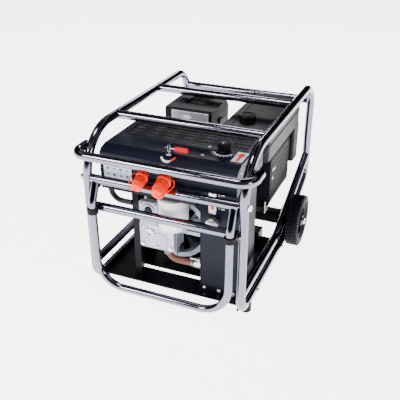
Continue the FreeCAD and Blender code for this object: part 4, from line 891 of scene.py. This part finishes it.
def makeKnob():
    low, high, mid = knobAt
    tall = high.z - low.z
    grip, skirt = knobSet["grip"], knobSet["skirt"]
    body = lathe([(0, 0), (skirt - 1, 0), (skirt, 1), (skirt, 5), (skirt - 1.5, 6.5), (grip, 8),
                  (grip, tall - 3), (grip - 1.2, tall - 1), (grip - 3, tall - 0.4),
                  (knobSet["cap"] + 0.6, tall - 0.4),
                  (knobSet["cap"] + 0.3, tall - 1.4), (0, tall - 1.4)], 48)
    ridge = moved(rod(knobSet["ridge"], tall - 12, 0.6, 8), (0, 0, 8))
    ridges = circle.grow(ridge, "black_plastic", Count=knobSet["ridges"], Radius=grip, Seed=2)
    pointer = moved(slab(roundedBox(2.4, 12, 1), tall, 0.3, tall - 2), (0, -8, 0))
    seat = (mid.x, mid.y, low.z)
    place("knob_grip", moved(merged(body, ridges), seat), "black_plastic", "flow_knob", None, ["flow_knob"])
    cap = lathe([(0, tall - 1.6), (knobSet["cap"], tall - 1.6), (knobSet["cap"], tall - 0.8),
                 (knobSet["cap"] - 1, tall - 0.2), (knobSet["cap"] - 3, tall - 0.8), (0, tall - 0.9)], 40)
    place("knob_cap", moved(cap, seat), "wheel_plastic", "flow_knob")
    place("knob_pointer", moved(pointer, seat), "white", "flow_knob")


leverSet = {"gripBands": 3, "bandStep": 9}


def makeLever():
    low, high, mid = span("lever_grip")
    band = torus((high.z - low.z) / 2 - 0.6, 1.3)
    bands = [moved(band, (low.x + 8 + leverSet["bandStep"] * index, mid.y, mid.z), xWay)
             for index in range(leverSet["gripBands"])]
    place("grip_bands", joined(*bands), "red_plastic", "valve_lever")
    hit = touch("control_console", (0, mid.y, 700), -zWay)[0]
    base = hit.z if hit else topLevel
    collar = moved(lathe([(8, -3), (14, -3), (14, 1.2), (12.5, 2.6), (8.4, 2.6)], 32), (0, mid.y, base))
    boot = moved(torus(9.8, 1.4), (0, mid.y, base + 3.4))
    place("lever_collar", joined(collar, boot), "chrome_tube")


makeCard()
makeIcons()
makeScales()
makeVent()
makeRivets()
makeKnob()
makeLever()
print("console done")

wheelSet = {"treadCount": 38, "blockLength": 11, "blockHeight": 3.0, "spokes": 6,
            "wallRings": (74, 86, 95), "boltCircle": 34}


def makeWheel(side, body):
    low, high, mid = span(f"{side}_tyre")
    outer, half = (high.z - low.z) / 2, (high.x - low.x) / 2
    inner = (span(f"{side}_rim")[1].z - span(f"{side}_rim")[0].z) / 2
    ground = outer - wheelSet["blockHeight"]
    profile = [(inner, 0.7), (inner + 4, 0.86), (inner + 12, 0.98), (inner + 20, 1), (ground - 10, 0.96),
               (ground - 4, 0.84), (ground, 0.6), (ground, 2.5 / half), (ground - 3, 1.5 / half)]
    profile = [(radius, -share * half) for radius, share in profile] \
        + [(radius, share * half) for radius, share in profile[::-1]]
    parts = [lathe(profile, 72)]
    for radius in wheelSet["wallRings"]:
        for way in (-1, 1):
            parts.append(moved(torus(radius, 0.9, 72, 6), (0, 0, way * (half - 0.6))))
    for way in (-1, 1):
        wide = half - 4
        outline = [(-1, 0.4), (3.6, 0.4), (3.6, wide - 3), (1.2, wide), (-1, wide)]
        block = [(x, y * way) for x, y in outline]
        block = block if way > 0 else block[::-1]
        stud = slab(block, wheelSet["blockLength"] / 2, 0.8, -wheelSet["blockLength"] / 2)
        stud = [Vector((point.x - 0.6, point.z, point.y + way * 2.4)) for point in stud[0]], stud[1]
        ring = circle.grow(stud, "tyre_rubber", Count=wheelSet["treadCount"], Radius=ground)
        spin = 0 if way > 0 else turn / wheelSet["treadCount"] / 2
        parts.append(moved(merged(ring), spin=spin))
    limit = outer - 0.1

    def kept(point):
        # nothing of the tread passes the tyre's own radius
        off = Vector((0, point.y - mid.y, point.z - mid.z))
        return Vector((point.x, mid.y, mid.z)) + off * min(1, limit / max(1, off.length))

    points, faces = moved(joined(*parts), mid, xWay)
    place(f"{side}_tyre_tread", ([kept(point) for point in points], faces), "tyre_rubber", body, None,
          [f"{side}_tyre"])
    outward = xWay if mid.x > 0 else -xWay
    face = touch(f"{side}_rim", mid + outward * 100 + zWay * 40, -outward)[0]
    depth = abs(face.x - mid.x) if face else half * 0.3
    spoke = bar([Vector((19, 0, 0)), Vector((36, 0, 1)), Vector((inner - 4, 0, 3.5))], 9, 7, 10)
    spoke = [point + Vector((-1, 0, 0)) for point in spoke[0]], spoke[1]
    spokes = circle.grow(spoke, "wheel_plastic", Count=wheelSet["spokes"], Radius=1)
    lip = lathe([(inner - 3.5, -4), (inner - 1, -4), (inner - 1, half * 0.7 - depth),
                 (inner - 2.4, half * 0.72 - depth + 1), (inner - 4, half * 0.7 - depth)], 60)
    hub = lathe([(12, 0), (21, 0), (20, 9), (17.5, 11), (12, 11)], 36)
    whole = moved(merged(spokes, lip, hub), mid + outward * depth, outward)
    place(f"{side}_wheel_face", whole, "wheel_plastic", body)
    bolts = circle.grow(socketScrew(3.4, 2.6), "zinc_steel", Count=wheelSet["spokes"],
                        Radius=wheelSet["boltCircle"])
    place(f"{side}_hub_bolts", moved(merged(bolts), mid + outward * depth, outward, turn / 12),
          "zinc_steel", body)
    valve = moved(lathe([(0, 0), (2.6, 0), (2.2, 9), (3, 9.6), (3, 14), (2.2, 15), (0, 15)], 14),
                  mid + outward * depth + Vector((0, 30, 42)), outward)
    place(f"{side}_tyre_valve", valve, "black_rubber", body)


makeWheel("left", "left_wheel")
makeWheel("right", "right_wheel")
print("wheels done")

weldSet = {"beads": 30, "bead": 2.1, "ring": 15.4, "bumperRing": 14.6, "bumperY": 60}


def makeWelds():
    inside, outside = span("right_hoop")[0].x + 0.8, span("right_hoop")[1].x + 1
    crosses = []
    for name in ("front_top_tube", "middle_top_tube", "front_cross_tube", "rear_top_tube"):
        mid = span(name)[2]
        crosses += [(Vector((side * inside, mid.y, mid.z)), xWay * side, weldSet["ring"]) for side in (-1, 1)]
    level = span("bumper_bar")[2].z
    crosses += [(Vector((side * outside, weldSet["bumperY"], level)), xWay * side, weldSet["bumperRing"])
                for side in (-1, 1)]
    bead = weldSet["bead"]
    bead = lathe([(0, -bead * 0.7), (bead * 0.8, -bead * 0.4), (bead, 0), (bead * 0.8, bead * 0.4),
                  (0, bead * 0.7)], 8)
    rings = []
    for index, (spot, way, radius) in enumerate(crosses):
        ring = circle.grow(bead, "chrome_tube", Count=weldSet["beads"], Radius=radius, Vary=0.25, Seed=index)
        rings.append(moved(merged(ring), spot, way))
    place("weld_beads", joined(*rings), "chrome_tube")


def makeSleeveRibs():
    low, high, mid = span("handle_sleeves")
    radius = (high.y - low.y) / 2
    rings = []
    for side in (-1, 1):
        for level in (0.12, 0.5, 0.88):
            rings.append(moved(torus(radius - 0.7, 1.3), (side * (high.x - radius), mid.y,
                                                          low.z + (high.z - low.z) * level)))
    place("sleeve_ribs", joined(*rings), "black_rubber", "handle")


makeWelds()
makeSleeveRibs()
print("frame details done")


capSet = {"tilt": 20, "ribs": 12, "ribRadius": 1.1, "skirtFlare": 1.0, "strapWide": 5, "strapThick": 1.8}
ahead = Vector((0, -math.cos(math.radians(capSet["tilt"])), -math.sin(math.radians(capSet["tilt"]))))


def makeCap(name):
    low, high, mid = span(f"{name}_cap")
    radius = (high.x - low.x) / 2
    reach = ((high.y - low.y) - 2 * radius * math.sin(math.radians(capSet["tilt"]))) \
        / math.cos(math.radians(capSet["tilt"]))
    start = mid - ahead * reach / 2
    wall = radius - 2
    ribs = circle.grow(moved(rod(capSet["ribRadius"], reach * 0.62, 0.4, 8), (0, 0, reach * 0.1)),
                       "orange_rubber", Count=capSet["ribs"], Radius=wall)
    skirt = lathe([(wall - 0.4, 0.4), (radius, 0.4), (radius + capSet["skirtFlare"], 1.8), (radius, 4.6),
                   (wall - 0.4, 6.5)], 48)
    band = torus(wall + 0.2, 1.3)
    loop = moved(torus(6.5, 1.7, 28, 8), (0, 0, reach + 2.5), xWay)
    body = moved(merged(ribs, skirt, moved(band, (0, 0, reach * 0.74)), loop), start, ahead)
    place(f"{name}_cap_ribs", body, "orange_rubber", f"{name}_cap")
    return start + ahead * (reach + 9), start - ahead * 8, radius


def makeStraps():
    for name in ("pressure", "return"):
        tip, back, radius = makeCap(name)
        neck = radius * 0.84
        ring = lathe([(neck - 2, -2.4), (neck + 1.6, -2.4), (neck + 1.6, 2.4), (neck - 2, 2.4)], 40)
        place(f"{name}_strap_ring", moved(ring, back, ahead), "orange_rubber")
        side = xWay if name == "pressure" else -xWay
        path = smooth([back + side * (neck + 1), back + side * (radius + 12) + zWay * 4 - yWay * 8,
                       back + side * (radius + 15) - yWay * 30 - zWay * 10,
                       tip + side * 17 - yWay * 2 + zWay * 2, tip + side * 3 - yWay * 3], 9)
        strap = place(f"{name}_strap", bar(path, capSet["strapWide"], capSet["strapThick"], 10),
                      "orange_rubber", None)
        tuple(toRow @ path[0])
        tuple(toRow @ path[-1])
        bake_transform(strap)
    card = Vector((cardSet["high"][0] - 4, frontLevel - 1.6, cardSet["high"][1] - 8))
    anchor = span("return_cap")[2] - ahead * 38
    path = smooth([card, card + xWay * 14 - yWay * 10 + zWay * 6, (card + anchor) / 2 - yWay * 20 + zWay * 14,
                   anchor - xWay * 20 + zWay * 12 - yWay * 6, anchor - xWay * 14 + zWay * 6], 8)
    place("card_tether", bar(path, 2.6, 1.8, 8), "red_plastic")
    rings = []
    for name, scale in (("return", 0.84), ("pressure", 1.0)):
        capMid = span(f"{name}_cap")[2]
        radius = 17 * scale
        front = capMid - ahead * 56 * scale
        collar = lathe([(radius * 0.8, 0), (radius, 0.6), (radius, 7), (radius * 0.86, 8),
                        (radius * 0.86, 10), (radius, 11), (radius, 13.5), (radius * 0.8, 14.5)], 36)
        rings.append(moved(collar, front, ahead))
        nut = lathe([(radius * 0.9, -3), (radius * 1.3, -3), (radius * 1.3, 4), (radius * 1.1, 6),
                     (radius * 0.9, 6)], 6)
        seat = (capMid.x, frontLevel - 2, front.z + (frontLevel - front.y) * 0.36)
        rings.append(moved(nut, seat, -yWay))
    place("coupling_collars", joined(*rings), "zinc_steel")


makeStraps()
print("couplings done")

pumpSet = {"boltRadius": 5.2, "boltInset": 12, "portRadius": 17, "ribs": (-38, 38), "seams": (22, 48)}
filterSet = {"flutes": 20, "labelHeight": 44}
gaugeSet = {"ticks": 9, "tick": 7}


def makePump():
    low, high, mid = span("pump_body")
    front = low.y
    edge = pumpSet["boltInset"]
    spots = [(Vector((x, front, z)), -yWay) for x in (low.x + edge, high.x - edge)
             for z in (low.z + edge, high.z - edge)]
    spots += [(Vector((mid.x, front, z)), -yWay) for z in (low.z + edge * 0.8, high.z - edge * 0.8)]
    studded("pump_bolts", hexHead(pumpSet["boltRadius"], 6), spots, 0.05)
    radius = pumpSet["portRadius"]
    ring = lathe([(0, 0), (radius * 0.62, 0), (radius * 0.66, 4.4), (radius * 0.92, 4.4), (radius, 3.4),
                  (radius, -1), (0, -1)], 40)
    boss = lathe([(0, -1), (24, -1), (24, 2), (22.5, 3.4), (14, 3.4), (13, 4.8), (0, 4.8)], 40)
    ribs = [moved(slab(roundedBox(5, high.z - low.z - 20, 2), 2.2, 0.7, -1), (mid.x + x, front, mid.z), -yWay)
            for x in pumpSet["ribs"]]
    rim = moved(frameBand(roundedBox(high.x - low.x - 3, high.z - low.z - 3, 10), 4, 1.8),
                (mid.x, front + 0.4, mid.z), -yWay)
    boss = moved(boss, (mid.x + 10, front, mid.z - 6), -yWay)
    place("pump_face", joined(rim, *ribs, boss), "cast_iron_grey")
    place("pump_port_ring", moved(ring, (mid.x - 26, front - 0.4, mid.z + 12), -yWay), "machined_steel")
    seam = [moved(frameBand(roundedBox(high.x - low.x + 1.6, high.z - low.z + 1.6, 8), 2, 2.4, 0.8),
                  (mid.x, front + y, mid.z), -yWay) for y in pumpSet["seams"]]
    place("pump_seams", joined(*seam), "cast_iron_grey")
    low, high, mid = span("valve_block")
    arch = [Vector((mid.x + polar(24, angle)[0], low.y - 1.5, mid.z + 4 + polar(27, angle)[1]))
            for angle in range(-20, 201, 11)]
    place("valve_arch", bar(arch, 7, 5, 10, yWay), "cast_iron_grey")
    ring = lathe([(0, -0.2), (12, -0.2), (14, 1.4), (16.5, 1.4), (17.5, 0.4), (17.5, -2), (0, -2)], 36)
    place("valve_port", moved(ring, (mid.x, low.y - 0.4, mid.z + 4), -yWay, 0, (0.85, 1.15, 1)), "black_coat")
    fitting = joined(moved(rod(8.5, 9, 0.8, 6), (low.x + 15, mid.y, high.z)),
                     moved(rod(6, 16, 0.8, 20), (low.x + 15, mid.y, high.z + 7)))
    place("valve_fitting", fitting, "nickel_brass")
    ring = moved(torus(7.6, 1.5), (low.x + 15, mid.y, high.z + 12))
    place("valve_fitting_ring", ring, "blue")
    screws = [(Vector((x, low.y, z)), -yWay) for x in (low.x + 8, high.x - 8)
              for z in (low.z + 8, high.z - 8)]
    studded("valve_screws", socketScrew(4.4, 4.2), screws)


def makeFilter():
    low, high, mid = span("filter_canister")
    radius, tall = (high.x - low.x) / 2, high.z - low.z
    flutes = circle.grow(slab(roundedBox(3.4, 5, 1.2), 15, 0.8), "white_paint",
                         Count=filterSet["flutes"], Radius=radius - 1.2)
    flutes = moved(merged(flutes), (mid.x, mid.y, high.z - 25))
    dome = [moved(torus(radius * share, 1.5, 60), (mid.x, mid.y, low.z + 2.0)) for share in (0.97, 0.72)]
    bands = [moved(torus(radius - 0.3, 1.1, 64), (mid.x, mid.y, low.z + height)) for height in (9, tall - 9)]
    place("filter_ribs", joined(flutes, *dome, *bands), "white_paint")
    ways = [Vector((*polar(1, angle), 0)) for angle in range(-150, -28, 6)]
    heights = [low.z + 24 + filterSet["labelHeight"] * level / 4 for level in range(5)]
    rows = [[(Vector((mid.x, mid.y, z)) + way * radius, way) for way in ways] for z in heights]
    place("filter_label", sheeted(rows, 0.5, 0.6), "white")
    collar = lathe([(radius * 0.52, -4), (radius * 0.62, -4), (radius * 0.62, 0), (radius * 0.52, 0)], 40)
    place("filter_collar", moved(collar, (mid.x, mid.y, low.z)), "black_rubber")


def makeGauge():
    low, high, mid = span("level_gauge")
    front = low.y
    wide, tall = high.x - low.x, high.z - low.z
    rim = moved(frameBand(roundedBox(wide + 5, tall + 5, 5), 4.6, 2.6), (mid.x, front + 0.6, mid.z), -yWay)
    ends = [moved(slab(roundedBox(wide + 2, 15, 4), 3.6, 0.8, -1), (mid.x, front, z), -yWay)
            for z in (low.z + 8, high.z - 8)]
    place("gauge_frame", joined(rim, *ends), "silver_plate")
    tube = moved(rod(4.2, tall - 30, 0.6, 20), (mid.x, front - 0.6, low.z + 15))
    place("gauge_tube", tube, "gauge_plastic")
    level = moved(rod(4.5, (tall - 30) * 0.55, 0.6, 20), (mid.x, front - 0.9, low.z + 15))
    place("gauge_oil", level, "orange_rubber")
    studded("gauge_screws", hexHead(4.2, 3.4),
            [(Vector((mid.x, front - 3.2, z)), -yWay) for z in (low.z + 8, high.z - 8)], spin=0.0)
    tank = span("oil_tank")[0].y
    tick = moved(slab(roundedBox(gaugeSet["tick"], 1.6, 0.4), 0.5, 0, -0.4), (0, 0, 0), -yWay)
    ticks = row.grow(tick, "white_paint", Count=gaugeSet["ticks"],
                     Start=(mid.x + wide / 2 + 9, tank, low.z + 14),
                     Step=(0, 0, (tall - 28) / (gaugeSet["ticks"] - 1)), Vary=0.2, Seed=4)
    marks = [moved(slab(roundedBox(13, 3, 1), 0.5, 0, -0.4), (mid.x + 32, tank, z), -yWay)
             for z in (low.z + 14, mid.z, high.z - 14)]
    place("gauge_marks", merged(ticks, *marks), "white")


def makeTank():
    low, high, mid = span("oil_tank")
    seams = [bar([Vector((x, low.y - 0.4, low.z + 6)), Vector((x, low.y - 0.4, high.z - 6))], 3, 2, 8, yWay)
             for x in (low.x + 5, high.x - 5)]
    foot = moved(frameBand(roundedBox(high.x - low.x + 8, high.y - low.y + 8, 6), 6, 4),
                 (mid.x, mid.y, low.z - 0.5))
    place("tank_seams", joined(foot, *seams), "navy_coat")
    spots = [(Vector((x, low.y - 0.4, low.z + 12)), -yWay) for x in (low.x + 18, mid.x, high.x - 18)]
    spots += [(Vector((high.x + 0.4, y, low.z + 12)), xWay) for y in (low.y + 20, mid.y, high.y - 20)]
    studded("tank_bolts", hexHead(6.2, 5), spots, 0.04)
    low, high, mid = span("tank_filler_cap")
    radius = (high.x - low.x) / 2
    grips = circle.grow(moved(rod(1.5, (high.y - low.y) * 0.6, 0.4, 8), (0, 0, 2)), "silver_plate",
                        Count=24, Radius=radius - 0.9)
    dome = lathe([(0, 0), (radius * 0.8, 0), (radius * 0.8, 1.4), (radius * 0.5, 3.2), (0, 3.8)], 36)
    place("filler_cap_grip", merged(moved(merged(grips), (mid.x, high.y - 2, mid.z), -yWay),
                                    moved(dome, (mid.x, low.y, mid.z), -yWay)), "silver_plate", "tank_cap")
    low, high, mid = span("suction_hose")
    tap = span("suction_tap")
    clamp = torus(13.2, 1.5, 36)
    clamps = moved(joined(clamp, moved(clamp, (0, 0, 5))), (tap[0].x - 10, tap[2].y, tap[2].z), xWay)
    elbow = [moved(torus(13.4, 2.0, 32), (low.x + 12, mid.y, high.z - drop)) for drop in (6, 13, 20, 27)]
    place("hose_clamps", clamps, "zinc_steel")
    place("elbow_ribs", joined(*elbow), "cast_iron_grey")


makePump()
makeFilter()
makeGauge()
makeTank()
print("pump side done")

cleanerSet = {"dish": (92, 64, 14), "dishAt": (6, 34), "bars": (-16, 0, 16)}
mufflerSet = {"slotRows": 7, "slotColumns": 9, "slot": (17, 5), "bolt": 6, "bandWide": 128.4}
recoilSet = {"slots": 16, "screws": 4}
fuelSet = {"seamDrop": 46, "ridges": 30}
plugSet = {"lean": 25, "leadWide": 6.5}


def makeCleaner():
    low, high, mid = span("air_cleaner")
    hits = [touch("air_cleaner", (x, mid.y, 700), -zWay)[0] for x in (low.x + 60, mid.x, high.x - 60)]
    top = max(hit.z for hit in hits if hit)
    x, y = mid.x + cleanerSet["dishAt"][0], mid.y + cleanerSet["dishAt"][1]
    dish = moved(frameBand(roundedBox(*cleanerSet["dish"]), 5, 3), (x, y, top - 1.0))
    stripe = slab(roundedBox(70, 4, 1.6), 1.6, 0.5, -0.4)
    bars = [moved(stripe, (x, y + shift, top)) for shift in cleanerSet["bars"]]
    place("cleaner_dish", joined(dish, *bars), "black_plastic")
    seam = []
    for way, facing in ((-1, -xWay), (1, xWay)):
        hit = touch("air_cleaner", (way * 500 + mid.x, mid.y, high.z - 62), -facing)[0]
        if hit:
            line = [Vector((hit.x, low.y + 8, hit.z)), Vector((hit.x, high.y - 8, hit.z))]
            latch = moved(slab(roundedBox(18, 30, 4), 4.5, 1.2, -2), (hit.x, mid.y, hit.z), facing)
            seam += [bar(line, 2.6, 2.6, 8), latch]
    place("cleaner_latches", joined(*seam), "black_plastic")
    low, high, mid = span("air_cleaner_plate")
    edge = moved(frameBand(roundedBox(high.x - low.x - 4, high.z - low.z - 4, 5), 2.4, 0.9),
                 (mid.x, low.y + 0.1, mid.z), -yWay)
    place("plate_border", edge, "silver_plate")
    oval = [(polar(17, angle)[0], polar(8, angle)[1]) for angle in [360 * step / 32 for step in range(32)]]
    place("plate_badge", moved(slab(oval, 0.7, 0.3, -0.3), (mid.x - 12, low.y, mid.z), -yWay), "white")


def makeFuelTank():
    low, high, mid = span("fuel_tank")
    capLow, capHigh, capMid = span("fuel_cap")
    top = touch("fuel_tank", (mid.x, mid.y, 700), -zWay)[0].z
    rim = frameBand(roundedBox(high.x - low.x + 5, high.y - low.y + 5, 28, 8), 6, 3.2, 1)
    place("fuel_tank_seam", moved(rim, (mid.x, mid.y, top - fuelSet["seamDrop"])), "black_coat")
    dome = frameBand(roundedBox(high.x - low.x - 46, high.y - low.y - 60, 40, 8), 16, 2.2, 2.1)
    place("fuel_tank_swage", moved(dome, (mid.x, mid.y, top - 0.6)), "black_coat")
    radius = (capHigh.x - capLow.x) / 2
    ridges = circle.grow(rod(1.5, capHigh.z - capLow.z - 4, 0.5, 8), "black_plastic", Count=fuelSet["ridges"],
                         Radius=radius - 0.6)
    ring = moved(torus(radius * 0.66, 1.5), (0, 0, capHigh.z - capLow.z))
    place("fuel_cap_ridges", moved(merged(ridges, ring), (capMid.x, capMid.y, capLow.z + 1)),
          "black_plastic", "fuel_cap")
    skirt = lathe([(radius * 0.8, -1), (radius + 5, -1), (radius + 4, 1.6), (radius * 0.8, 1.6)], 48)
    place("fuel_neck_ring", moved(skirt, (capMid.x, capMid.y, top)), "black_coat")


def makeMuffler():
    low, high, mid = span("muffler")
    face = touch("muffler", (600, mid.y, mid.z), -xWay)[0].x
    wide, tall = high.y - low.y, high.z - low.z
    slot = rolled(slab(roundedBox(*mufflerSet["slot"], 2.4), 1.2, 0.5, -0.4))
    rows = []
    for line in range(mufflerSet["slotRows"]):
        z = low.z + 48 + (tall - 96) * line / (mufflerSet["slotRows"] - 1)
        rows.append(row.grow(slot, "dark_muffler", Count=mufflerSet["slotColumns"],
                             Start=(face, low.y + 38, z), Seed=line,
                             Step=(0, (wide - 76) / (mufflerSet["slotColumns"] - 1), 0)))
    place("muffler_louvres", merged(*rows), "dark_muffler")
    band = frameBand(roundedBox(mufflerSet["bandWide"], tall + 2.4, 30, 8), 3.2, 7, 1)
    bands = [moved(band, (face - 63, y + 3, mid.z), -yWay) for y in (low.y + 16, high.y - 16)]
    place("muffler_bands", joined(*bands), "dark_muffler")
    spots = [(Vector((face, y, z)), xWay) for y, z in ((low.y + 22, high.z - 60), (low.y + 22, high.z - 96),
                                                   (low.y + 44, high.z - 62))]
    studded("muffler_bolts", hexHead(mufflerSet["bolt"], 5), spots)
    bracket = rolled(slab([(-22, -26), (20, -26), (26, -8), (4, 18), (-22, 26)], 3, 0.6))
    place("muffler_bracket", moved(bracket, (face - 14, low.y + 12, low.z + 8)), "silver_plate")
    pipe = moved(lathe([(13, 0), (16, 0), (16, 18), (13, 18)], 32), (face - 60, high.y - 2, low.z + 40), yWay)
    place("tail_pipe", pipe, "zinc_steel")


def makeRecoil():
    low, high, mid = span("recoil_cover")
    radius = (high.x - low.x) / 2
    slot = slab(roundedBox(30, 5, 2.2), 1.6, 0.5, -0.6)
    louvres = circle.grow(slot, "black_coat", Count=recoilSet["slots"], Radius=radius * 0.62)
    hub = lathe([(0, -1), (26, -1), (26, 3), (23, 5.5), (0, 6.5)], 48)
    rim = torus(radius * 0.86, 2.2, 72)
    place("recoil_face", moved(merged(louvres, hub, rim), (mid.x, high.y, mid.z), yWay), "black_coat")
    count = recoilSet["screws"]
    ring = [polar(radius - 8, 360 * (step + 0.5) / count) for step in range(count)]
    spots = [(Vector((mid.x + x, high.y, mid.z + z)), yWay) for x, z in ring]
    studded("recoil_screws", hexHead(4.6, 3.6), spots)
    low, high, mid = span("crankcase")
    tops = [touch("crankcase", (x, y, 400), -zWay)[0] for x in (low.x + 40, high.x - 40)
            for y in (low.y + 20, high.y - 20)]
    sides = [touch("crankcase", (500, y, z), -xWay)
             for y in (low.y + 24, mid.y, high.y - 24) for z in (190, 290)]
    bolts = [(spot, zWay) for spot in tops if spot] + [(spot, normal) for spot, normal in sides if spot]
    studded("crankcase_bolts", hexHead(5.4, 5), bolts, 0.05)


def makePlug():
    low, high, mid = span("cylinder")
    lean = polar(1, plugSet["lean"])
    out = Vector((-lean[0], 0, lean[1]))
    end = touch("cylinder", mid + out * 300, -out)[0] or Vector((low.x, mid.y, mid.z))
    head = moved(frameBand(roundedBox(62, 76, 10), 5, 4), end - out * 1.0, out)
    place("head_cover", head, "cast_aluminium")
    spots = [(end + out + yWay * y + out.cross(yWay) * z, out) for y in (-30, 30) for z in (-24, 24)]
    studded("head_bolts", hexHead(4.4, 5), spots)
    spark = joined(lathe([(0, -2), (7, -2), (7, 4), (0, 4)], 6),
                   lathe([(0, 4), (4.2, 4), (3.6, 12), (0, 13)], 18))
    place("spark_plug", moved(spark, end + yWay * 16, out), "zinc_steel")
    boot = end + out * 9 + yWay * 16
    blower = span("blower_housing")
    path = smooth([boot, boot + out * 5 + zWay * 10, Vector((mid.x + 4, mid.y + 44, high.z + 14)),
                   Vector((blower[0].x + 22, blower[0].y + 8, blower[1].z - 20))], 9)
    lead = joined(bar(path, plugSet["leadWide"], steps=10), moved(rod(6, 12, 1.6), boot - out * 4, out))
    place("plug_lead", lead, "black_rubber")


makeCleaner()
makeFuelTank()
makeMuffler()
makeRecoil()
makePlug()
print("engine done")
